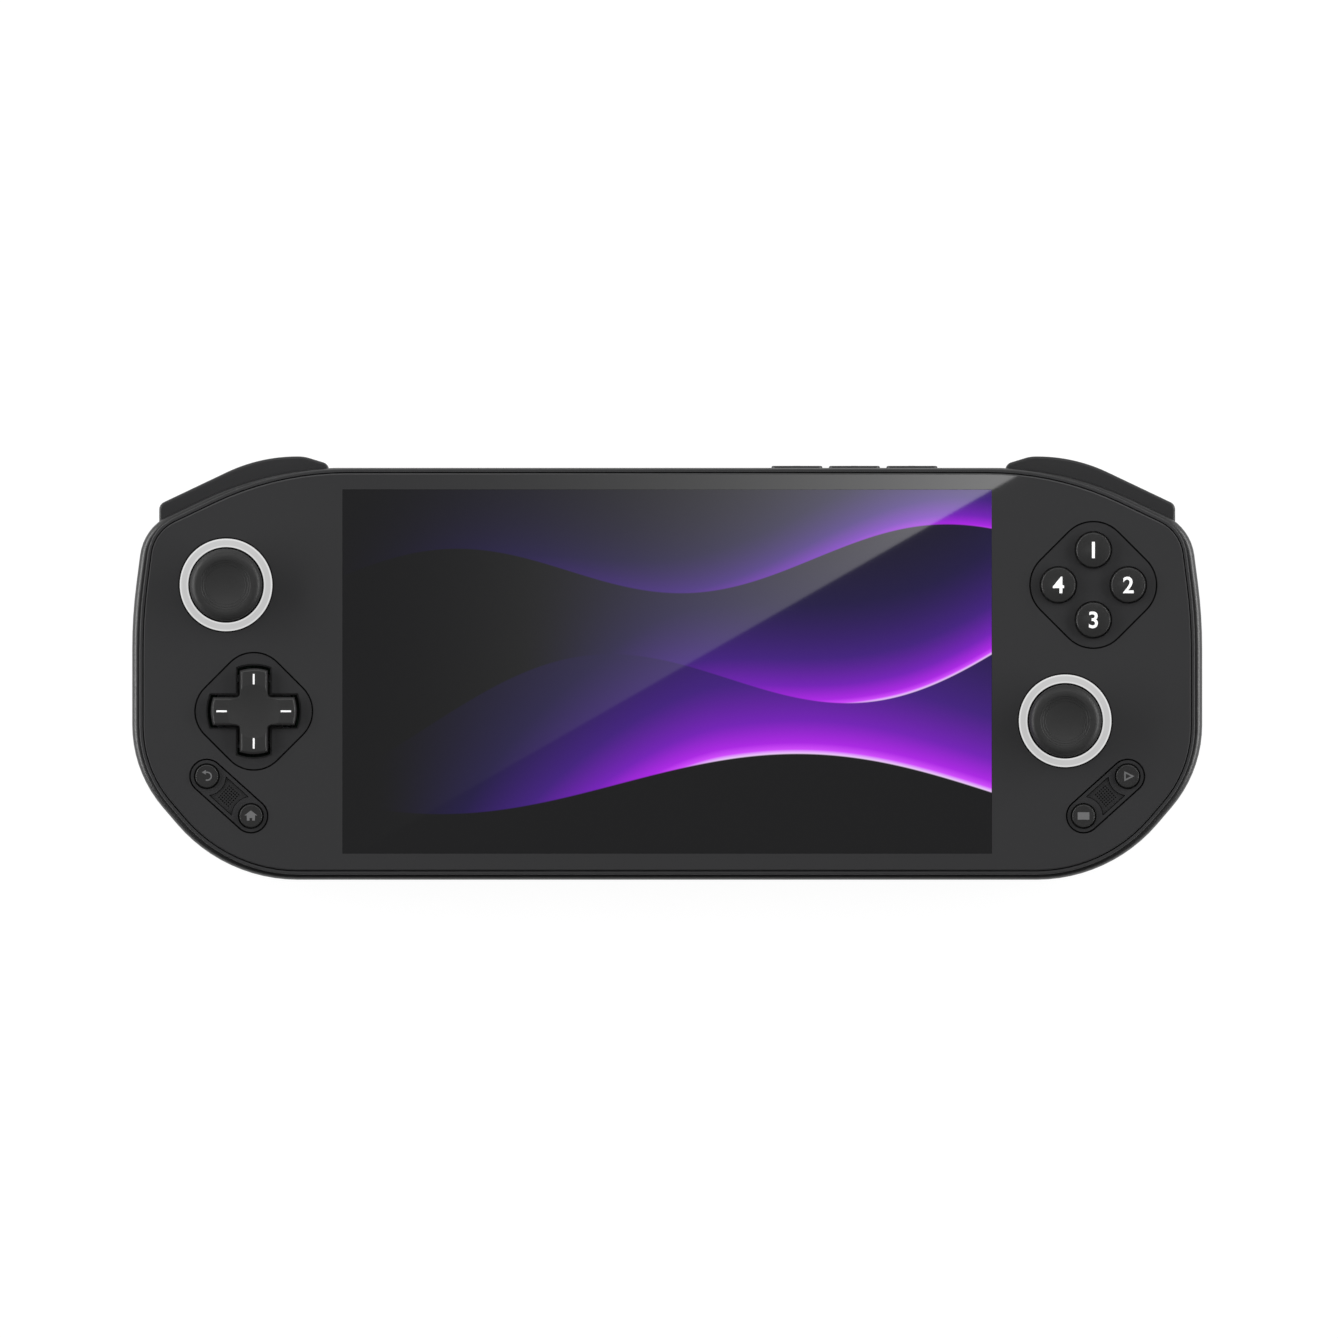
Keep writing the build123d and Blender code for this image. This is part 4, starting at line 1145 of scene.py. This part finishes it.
@dataclass
class FaceButtons(Assembly):
    """Four round buttons with plain numerals, their plate and membrane."""

    numeral_height: float = 4.5
    stroke: float = 0.07
    numeral_thickness: float = 0.1

    def build(self) -> None:
        """Makes a numeral on each button."""
        self.wear(SATIN_PLATE, "face_button_bezel")
        self.wear(MEMBRANE, "face_button_membrane")
        for corner in Corner:
            node = f"face_button_{corner.name.lower()}"
            self.wear(POLISHED_BUTTON, node)
            self.add(self.numeral(corner.value, node), node, WHITE_INK, "ring_light")

    def numeral(self, text: str, node: str) -> Thing:
        """Makes one numeral on the crown of a button.

        Args:
            text: The numeral.
            node: The button's CAD node.

        Returns:
            The numeral as a mesh.
        """
        rest_selection()
        bpy.ops.object.text_add()
        letter = bpy.context.object
        letter.data.body = text
        letter.data.align_x = "CENTER"
        letter.data.align_y = "CENTER"
        letter.data.size = self.numeral_height * MM
        letter.data.offset = self.stroke * MM
        letter.data.extrude = self.numeral_thickness * MM / 2
        bpy.ops.object.convert(target="MESH")
        first, across = Vector(letter.bound_box[0]), Vector(letter.bound_box[6])
        centre = (first + across) / 2
        letter.location = top_of(node) - Vector((centre.x, centre.y, SUNK * MM))
        return settle(letter, f"numeral_{text}", smooth=False)


class Sign(Enum):
    """The plain signs of the small buttons, with the button that carries each."""

    BACK = "back_button"
    HOME = "home_button"
    PLAY = "play_button"
    MENU = "menu_button"


@dataclass
class PillControls(Assembly):
    """Both pills: two small buttons with a plain sign each, plate, grille, speaker."""

    sign_height: float = 0.05
    sign_sunk: float = 0.02
    play_radius: float = 1.35
    play_line: float = 0.3
    play_share: float = 0.85  # height against an even triangle's
    menu_width: float = 2.3
    menu_height: float = 1.45
    home_width: float = 1.6
    home_height: float = 1.0
    home_drop_share: float = 0.4  # of the walls' height, below the button's middle
    roof_height: float = 0.95
    eaves_height: float = 0.001
    eaves_share: float = 1.6
    ridge_share: float = 0.04
    arc_outer: float = 0.9
    arc_inner: float = 0.64
    arc_shift: float = 0.12
    arc_steps: int = 32
    arrow_radius: float = 0.52
    arrow_shaft: float = 0.3

    def build(self) -> None:
        """Makes the four signs."""
        for side in Side:
            self.wear(SATIN_PLATE, f"{side.label}_pill_bezel")
            self.wear(PERFORATED_STEEL, f"{side.label}_speaker_grille")
            self.wear(MEMBRANE, f"{side.label}_pill_membrane")
            self.wear(SPEAKER_PLASTIC, f"{side.label}_speaker")
        makers = {
            Sign.BACK: self.back_sign,
            Sign.HOME: self.home_sign,
            Sign.PLAY: self.play_sign,
            Sign.MENU: self.menu_sign,
        }
        for sign, make in makers.items():
            self.wear(POLISHED_BUTTON, sign.value)
            place = top_of(sign.value) - Vector((0, 0, self.sign_sunk * MM))
            thing = thicken(make(place), self.sign_height)
            settle(thing, f"{sign.name.lower()}_sign", smooth=False)
            self.add(thing, sign.value, GREY_INK, "plate_grey")

    def play_sign(self, place: Vector) -> Thing:
        """Makes a flat open triangle that points right.

        Args:
            place: The sign's middle in metres.

        Returns:
            The sign, not yet thick.
        """
        sign = flat_triangle(place, self.play_radius, -math.pi / 2)
        edit(sign, whole=True)
        stretch(1, self.play_share, place)
        bpy.ops.mesh.inset(thickness=self.play_line * MM)
        drop_faces()
        return sign

    def menu_sign(self, place: Vector) -> Thing:
        """Returns a flat solid rectangle."""
        return flat_plate(place, self.menu_width, self.menu_height)

    def home_sign(self, place: Vector) -> Thing:
        """Makes a flat house with a doorway.

        Args:
            place: The sign's middle in metres.

        Returns:
            The sign, not yet thick.
        """
        low = place - Vector((0, self.home_drop_share * self.home_height * MM, 0))
        rest_selection()
        bpy.ops.mesh.primitive_grid_add(x_subdivisions=3, y_subdivisions=2, size=MM, location=low)
        sign = bpy.context.object
        sign.scale = (self.home_width, self.home_height, 1)
        bpy.ops.object.transform_apply(location=False, rotation=False, scale=True)
        half_door = self.home_width / 6 * MM  # the doorway is one of three columns
        pick_faces(sign, lambda at, _: abs(at.x - low.x) < half_door and at.y < low.y)
        drop_faces()
        eaves = Vector((place.x, low.y + self.home_height / 2 * MM, place.z))
        pick_edges(sign, lambda a, b: min(a.y, b.y) > eaves.y - NEAR * MM)
        extrude(0, self.eaves_height, 0)
        stretch(self.eaves_share, 1, eaves)
        extrude(0, self.roof_height, 0)
        stretch(self.ridge_share, 1, eaves)
        return sign

    def back_sign(self, place: Vector) -> Thing:
        """Makes a flat arrow that turns back to the left.

        Args:
            place: The sign's middle in metres.

        Returns:
            The sign, not yet thick.
        """
        middle = place + Vector((self.arc_shift * MM, 0, 0))
        rest_selection()
        bpy.ops.mesh.primitive_circle_add(
            vertices=self.arc_steps, radius=self.arc_outer * MM, location=middle
        )
        sign = bpy.context.object
        edit(sign, "EDGE", whole=True)
        extrude(0, 0, 0)
        share = self.arc_inner / self.arc_outer
        stretch(share, share, middle)
        pick_faces(sign, lambda at, _: at.x < middle.x)
        drop_faces()
        pick_edges(sign, lambda a, b: max(abs(a.x - middle.x), abs(b.x - middle.x)) < NEAR * MM)
        extrude(-self.arrow_shaft, 0, 0)
        level = (self.arc_outer + self.arc_inner) / 2
        tip = middle + Vector((-self.arrow_shaft - self.arrow_radius / 2, level, 0)) * MM
        flat_triangle(tip, self.arrow_radius, math.pi / 2)
        sign.select_set(True)
        bpy.context.view_layer.objects.active = sign
        bpy.ops.object.join()
        return sign


@dataclass
class Shoulders(Assembly):
    """Bumpers, triggers and their pins."""

    def build(self) -> None:
        """Chooses the finishes."""
        self.wear(SATIN_BUMPER, "left_bumper", "right_bumper")
        self.wear(GRAINED_SHELL, "left_trigger", "right_trigger")
        self.wear(TURNED_STEEL, "shoulder_pins")


@dataclass
class TopEdge(Assembly):
    """Volume and power buttons with a plain sign each, and their switch board."""

    sign_size: float = 1.3
    sign_line: float = 0.22
    sign_height: float = 0.04
    sign_sunk: float = 0.02
    stroke_share: float = 0.62
    stroke_lift: float = 0.45
    arc_drop: float = 0.05
    arc_gap: float = 0.3
    arc_steps: int = 32

    def build(self) -> None:
        """Makes the minus, plus and power signs on the buttons."""
        self.wear(BOARD, "top_switch_board")
        down, up, power = "volume_down_button", "volume_up_button", "power_button"
        signs = {
            down: [self.bar("volume_down_sign", down, False)],
            up: [
                self.bar("volume_up_sign_1", up, False),
                self.bar("volume_up_sign_2", up, True),
            ],
            power: [
                self.bar("power_sign_stroke", power, True, self.stroke_share, self.stroke_lift),
                self.power_arc(),
            ],
        }
        for node, bars in signs.items():
            self.wear(GRAINED_SHELL, node)
            for bar in bars:
                self.add(bar, node, GREY_INK, "plate_grey")

    def on_face(self, thing: Thing, node: str, lift: float) -> None:
        """Stands a flat sign upright on a button's outer face.

        Args:
            thing: The sign, flat at the origin.
            node: The button's CAD node.
            lift: How far it is moved up, in millimetres.
        """
        middle = middle_of(node)
        face = Vector((middle.x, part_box(node)[1].y, middle.z))
        thing.rotation_euler = (-math.pi / 2, 0, 0)
        thing.location = face + Vector((0, -self.sign_sunk, lift)) * MM

    def bar(
        self, name: str, node: str, upright: bool, share: float = 1.0, lift: float = 0.0
    ) -> Thing:
        """Makes one bar of a sign on a button's outer face.

        Args:
            name: The bar's name.
            node: The button's CAD node.
            upright: Whether the bar stands along Z and not along X.
            share: Its length as a share of the sign's size.
            lift: How far it is moved up, in millimetres.

        Returns:
            The bar.
        """
        length = self.sign_size * share
        width, depth = (self.sign_line, length) if upright else (length, self.sign_line)
        bar = thicken(flat_plate(Vector(), width, depth), self.sign_height)
        self.on_face(bar, node, lift)
        return settle(bar, name, smooth=False)

    def power_arc(self) -> Thing:
        """Returns the open ring of the power sign."""
        outer, inner = self.sign_size / 2, self.sign_size / 2 - self.sign_line
        high = self.sign_height
        corners = [(outer, 0), (outer, high), (inner, high), (inner, 0)]
        arc = turned_ring("power_sign_arc", Vector(), corners, self.arc_steps)
        pick_faces(arc, lambda at, _: at.y < 0 and abs(at.x) < self.arc_gap * MM)
        drop_faces()
        self.on_face(arc, "power_button", -self.arc_drop)
        return settle(arc, "power_sign_arc", smooth=False)


@dataclass
class Ports(Assembly):
    """Charging port with its gold contacts, headphone jack with its collar, card slot."""

    contact_count: int = 12
    contact_pitch: float = 0.5
    contact_width: float = 0.26
    contact_length: float = 2.4
    contact_height: float = 0.06
    contact_bevel: float = 0.015
    contact_gap: float = 0.1
    tongue_half: float = 0.35
    tongue_tip: float = 2.95
    collar_inner: float = 1.83
    collar_outer: float = 2.08
    collar_low: float = 0.06
    collar_high: float = 0.1
    collar_slope: float = 0.05
    collar_sunk: float = 0.02
    collar_steps: int = 64

    def build(self) -> None:
        """Makes the rows of contacts and the collar."""
        self.wear(STAMPED_SOCKET, "usb_c_port", "card_slot")
        self.wear(SPEAKER_PLASTIC, "headphone_jack")
        for up, name in ((1, "upper"), (-1, "lower")):
            row = self.contacts(f"usb_contacts_{name}", up)
            self.add(row, "console", GOLD_CONTACT, "port_steel")
        self.add(self.collar(), "console", STAMPED_SOCKET, "port_steel")

    def contacts(self, name: str, up: int) -> Thing:
        """Makes one row of contacts on the port's tongue.

        Args:
            name: The row's name.
            up: 1 for the row on top, -1 for the one below.

        Returns:
            The row.
        """
        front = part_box("usb_c_port")[0].y
        level = middle_of("usb_c_port").z + (up * self.tongue_half - SUNK) * MM
        first = -(self.contact_count - 1) / 2 * self.contact_pitch * MM
        middle = front + (self.tongue_tip + self.contact_gap + self.contact_length / 2) * MM
        row = flat_plate(Vector((first, middle, level)), self.contact_width, self.contact_length)
        thicken(row, self.contact_height, self.contact_bevel)
        copies = row.modifiers.new("row", "ARRAY")
        copies.count = self.contact_count
        copies.use_relative_offset = False
        copies.use_constant_offset = True
        copies.constant_offset_displace = (self.contact_pitch * MM, 0, 0)
        apply_all(row)
        return settle(row, name)

    def collar(self) -> Thing:
        """Returns the bright ring round the headphone jack's mouth."""
        inner, outer, slope = self.collar_inner, self.collar_outer, self.collar_slope
        corners = [
            (inner, 0),
            (inner, self.collar_low),
            (inner + slope, self.collar_high),
            (outer - slope, self.collar_high),
            (outer, self.collar_low),
            (outer, 0),
        ]
        ring = turned_ring("jack_collar", Vector(), corners, self.collar_steps)
        middle, front = middle_of("headphone_jack"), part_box("headphone_jack")[0].y
        ring.rotation_euler = (math.pi / 2, 0, 0)
        ring.location = (middle.x, front + self.collar_sunk * MM, middle.z)
        return settle(ring, "jack_collar")


@dataclass
class Insides(Assembly):
    """Boards, shield and battery inside the case."""

    def build(self) -> None:
        """Chooses the finishes."""
        self.wear(BOARD, "left_control_board", "right_control_board", "main_board")
        self.wear(STAMPED_SHIELD, "processor_shield")
        self.wear(BATTERY_FILM, "battery")


# The flat nodes of the face. The strips are flagged off them, or from the sides they would
# mirror nothing but lamp.
FLAT_FACES = (
    "front_panel",
    "display_glass",
    "dpad_bezel",
    "face_button_bezel",
    "left_pill_bezel",
    "right_pill_bezel",
)
# What the thumbs press. Lamps higher up light these, for the same reason.
KEYS = (
    "dpad",
    *(f"face_button_{corner.name.lower()}" for corner in Corner),
    *(sign.value for sign in Sign),
)


@dataclass
class Lamp:
    """A soft rectangular lamp that looks at the console."""

    name: str
    place: tuple[float, float, float]  # metres, as its size
    size: Pair
    power: float  # watts
    in_reflections: bool = True
    kept_off: tuple[str, ...] = ()
    kept_to: tuple[str, ...] = ()

    def light(self) -> None:
        """Hangs the lamp, with flags that keep its light off some nodes or to some."""
        data = bpy.data.lights.new(self.name, "AREA")
        data.shape = "RECTANGLE"
        data.size, data.size_y = self.size
        data.energy = self.power
        lamp = bpy.data.objects.new(self.name, data)
        lamp.location = self.place
        lamp.rotation_euler = (-Vector(self.place)).to_track_quat("-Z", "Y").to_euler()
        lamp.visible_glossy = self.in_reflections
        if self.kept_off or self.kept_to:
            group = bpy.data.collections.new(f"{self.name}_flags")
            for node in self.kept_off or self.kept_to:
                group.objects.link(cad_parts[node])
            for entry in group.collection_objects:
                entry.light_linking.link_state = "EXCLUDE" if self.kept_off else "INCLUDE"
            lamp.light_linking.receiver_collection = group
        bpy.context.scene.collection.objects.link(lamp)
        LOG.info("lit %s", self.name)


def stage_material(name: str) -> tuple[bpy.types.Material, Tree]:
    """Makes a material for a piece of the stage.

    Args:
        name: The material's name.

    Returns:
        The material and its tree, without nodes.
    """
    material = bpy.data.materials.new(name)
    material.use_nodes = True
    material.node_tree.nodes.clear()
    return material, material.node_tree


@dataclass
class Studio:
    """White surroundings, soft lamps, the card that the glass mirrors, and the camera."""

    pixel: float = 0.19608  # millimetres of the console's face to a pixel of the photograph
    picture_pixels: int = 1338
    pixel_origin: Pair = (667.2, 668.06)
    face_height: float = 19.0
    outline_height: float = 16.5
    lens: float = 1200.0
    sensor: float = 36.0
    floor_size: float = 6.0  # metres
    floor_gap: float = 0.2  # keeps the floor off the grips' resting faces
    floor_glow: float = 0.93
    floor_paint: str = "#6a6a6a"
    floor_mirrored: str = "#e6e6e6"
    card_height: float = 600.0
    card_power: float = 4.1
    card_fall: float = 2.5  # how fast the card darkens to the left
    card_columns: Pair = (300, 1040)  # pixels where the glass shows its sides
    card_rows: Pair = (430, 900)
    bright_column: float = 1000  # where it is at its brightest
    slant_high: Pair = (1025, 471)  # pixels on its slanting edge
    slant_low: Pair = (310, 880)
    overhead: float = 0.09
    ambient: float = 0.66
    front_share: float = 0.12  # of the ambient light, from the front
    ambient_fade: Pair = (-0.55, 0.35)  # where it rises, from front (-1) to back (1)
    mirrored_fade: Pair = (-0.6, -0.1)  # where the mirrored sky rises
    mirrored_shares: Pair = (0.1, 1.0)  # its strength before and behind that
    sky: tuple[tuple[float, str], ...] = (  # from straight below to straight above
        (0.0, "#8a8a8a"),
        (0.45, "#b4b4b4"),
        (0.54, "#c4c4c4"),
        (0.72, "#a0a0a0"),
        (0.88, "#555555"),
        (1.0, "#555555"),
    )

    def lamps(self) -> list[Lamp]:
        """Returns one lamp behind, three at each side, and one below."""
        lamps = [Lamp("back_lamp", place=(0.0, 0.75, 1.05), size=(1.0, 0.6), power=2.6)]
        for side in Side:
            low, high = (0.75 * side.value, 0.1, 0.3), (0.62 * side.value, 0.1, 0.8)
            wide, narrow = (0.9, 0.25), (0.9, 0.16)
            lamps += [
                Lamp(f"{side.label}_strip", low, wide, power=5.2, kept_off=FLAT_FACES + KEYS),
                Lamp(f"{side.label}_fill", low, wide, 6.2, False, kept_to=FLAT_FACES),
                Lamp(f"{side.label}_key_light", high, narrow, power=3.4, kept_to=KEYS),
            ]
        under = Lamp("under_lamp", (0.0, 0.0, -0.8), (0.8, 0.8), 2.4, in_reflections=False)
        return [*lamps, under]

    def build(self) -> None:
        """Sets up everything round the console."""
        bpy.context.scene.view_settings.view_transform = "Standard"
        self.surroundings()
        self.floor()
        for lamp in self.lamps():
            lamp.light()
        self.card(self.camera())

    def camera(self) -> Thing:
        """Returns the camera, straight above the console, as far away as the photograph's was."""
        data = bpy.data.cameras.new("photo_camera")
        data.sensor_width = self.sensor
        data.lens = self.lens
        camera = bpy.data.objects.new("photo_camera", data)
        middle = self.picture_pixels / 2
        distance = self.lens / self.sensor * self.picture_pixels * self.pixel
        x, y = self.on_face(middle, middle)
        camera.location = Vector((x, y, self.outline_height + distance)) * MM
        bpy.context.scene.collection.objects.link(camera)
        bpy.context.scene.camera = camera
        return camera

    def on_face(self, column: float, row: float) -> Pair:
        """Turns a pixel of the photograph to millimetres along X and Y."""
        middle, level = self.pixel_origin
        return (column - middle) * self.pixel, (level - row) * self.pixel

    def surroundings(self) -> None:
        """Makes the world: white to the eye, pale low down and dark overhead in reflections."""
        world = bpy.data.worlds.new("white_studio")
        bpy.context.scene.world = world
        world.use_nodes = True
        tree = world.node_tree
        ray = add_node(tree, "LightPath").outputs
        aim = add_node(tree, "TexCoord").outputs["Generated"]
        axes = add_node(tree, "SeparateXYZ", {}, {0: aim}).outputs
        rise = add_node(
            tree, "MapRange", {}, {"Value": axes["Z"], "From Min": -1.0, "From Max": 1.0}
        )
        sky = add_node(tree, "ValToRGB", {}, {"Fac": rise})
        set_stops(sky, self.sky)
        ends = ("From Min", "From Max", "To Min", "To Max")
        fade = dict(zip(ends, (*self.mirrored_fade, *self.mirrored_shares)))
        front = add_node(tree, "MapRange", {}, {"Value": axes["Y"], **fade})
        strengths = self.front_share * self.ambient, self.ambient
        fade = dict(zip(ends, (*self.ambient_fade, *strengths)))
        eased = {"interpolation_type": "SMOOTHSTEP"}
        behind = add_node(tree, "MapRange", eased, {"Value": axes["Y"], **fade})
        white = linear("#ffffff")
        ambient = add_node(tree, "Background", {}, {"Color": white, "Strength": behind})
        mirrored = add_node(tree, "Background", {}, {"Color": sky, "Strength": front})
        seen = add_node(tree, "Background", {}, {"Color": white, "Strength": 1.0})
        rays = {0: ray["Is Glossy Ray"], 1: ray["Is Transmission Ray"]}
        shiny = add_node(tree, "Math", {"operation": "MAXIMUM"}, rays)
        unseen = add_node(tree, "MixShader", {}, {0: shiny, 1: ambient, 2: mirrored})
        whole = add_node(tree, "MixShader", {}, {0: ray["Is Camera Ray"], 1: unseen, 2: seen})
        feed(tree, tree.nodes["World Output"], {"Surface": whole})

    def floor(self) -> None:
        """Makes the pale floor: white to the eye with a faint shadow, and clear from below."""
        rest_selection()
        place = (0, 0, -self.floor_gap * MM)
        bpy.ops.mesh.primitive_plane_add(size=self.floor_size, location=place)
        floor = bpy.context.object
        floor.name = "studio_floor"
        material, tree = stage_material("matt_white_floor")
        ray = add_node(tree, "LightPath").outputs
        either = {"operation": "MAXIMUM"}
        eye = {0: ray["Is Camera Ray"], 1: ray["Is Transmission Ray"]}
        shown = {0: add_node(tree, "Math", either, eye), 1: ray["Is Glossy Ray"]}
        shown_to = add_node(tree, "Math", either, shown)
        light = {0: ray["Is Diffuse Ray"], 1: ray["Is Shadow Ray"]}
        below = add_node(tree, "NewGeometry").outputs["Backfacing"]
        clear = {0: add_node(tree, "Math", either, light), 1: below}
        clear_to = add_node(tree, "Math", either, clear)
        paint = add_node(tree, "BsdfDiffuse", {}, {"Color": linear(self.floor_paint)})
        white = {"Color": linear("#ffffff"), "Strength": self.floor_glow}
        glow = add_node(tree, "Emission", {}, white)
        lit = add_node(tree, "AddShader", {}, {0: paint, 1: glow})
        plain = add_node(tree, "BsdfDiffuse", {}, {"Color": linear(self.floor_mirrored)})
        top = add_node(tree, "MixShader", {}, {0: shown_to, 1: plain, 2: lit})
        air = add_node(tree, "BsdfTransparent")
        whole = add_node(tree, "MixShader", {}, {0: clear_to, 1: top, 2: air})
        add_node(tree, "OutputMaterial", {}, {"Surface": whole})
        floor.data.materials.append(material)

    def card(self, camera: Thing) -> None:
        """Hangs the pale card whose edge the glass mirrors as a slanting line.

        Args:
            camera: The camera, whose height sets the card's size.
        """
        spread = 1 + self.card_height / (camera.location.z / MM - self.face_height)
        centre = camera.location
        level = (self.face_height + self.card_height) * MM

        def mirrored(column: float, row: float) -> Vector:
            """Returns the card's point that the glass shows at a pixel of the photograph."""
            away = (Vector(self.on_face(column, row)) * MM - centre.xy) * spread
            return Vector((*(centre.xy + away), level))

        corner = mirrored(self.card_columns[0], self.card_rows[0])
        other = mirrored(self.card_columns[1], self.card_rows[1])
        size = (other - corner) / MM
        card = flat_plate((corner + other) / 2, size.x, -size.y)
        settle(card, "pale_card", smooth=False)
        high, low = mirrored(*self.slant_high), mirrored(*self.slant_low)
        along = high - low
        edit(card, whole=True)
        bpy.ops.mesh.bisect(
            plane_co=high, plane_no=(along.y, -along.x, 0), clear_outer=True, clear_inner=False
        )
        rest_selection()
        material, tree = stage_material("pale_card_paper")
        place = add_node(tree, "TexCoord").outputs["Object"]
        across = add_node(tree, "SeparateXYZ", {}, {0: place}).outputs["X"]
        bright = mirrored(self.bright_column, self.slant_high[1]).x
        share = add_node(
            tree, "MapRange", {}, {"Value": across, "From Min": corner.x, "From Max": bright}
        )
        curve = add_node(tree, "Math", {"operation": "POWER"}, {0: share, 1: self.card_fall})
        strength = {0: curve, 1: self.card_power, 2: self.overhead}
        power = add_node(tree, "Math", {"operation": "MULTIPLY_ADD"}, strength)
        glow = add_node(tree, "Emission", {}, {"Color": linear("#ffffff"), "Strength": power})
        add_node(tree, "OutputMaterial", {}, {"Surface": glow})
        card.data.materials.append(material)
        for ray in ("camera", "diffuse", "shadow", "transmission"):
            setattr(card, f"visible_{ray}", False)


def main() -> None:
    """Builds and dresses the sub-assemblies in order, then the studio."""
    logging.basicConfig(level=logging.INFO, format="%(message)s")
    for assembly in (
        Case(),
        Display(),
        ThumbStick(side=Side.LEFT),
        ThumbStick(side=Side.RIGHT),
        DirectionPad(),
        FaceButtons(),
        PillControls(),
        Shoulders(),
        TopEdge(),
        Ports(),
        Insides(),
    ):
        assembly.build()
        assembly.dress()
    Studio().build()


if __name__ == "__main__":
    main()
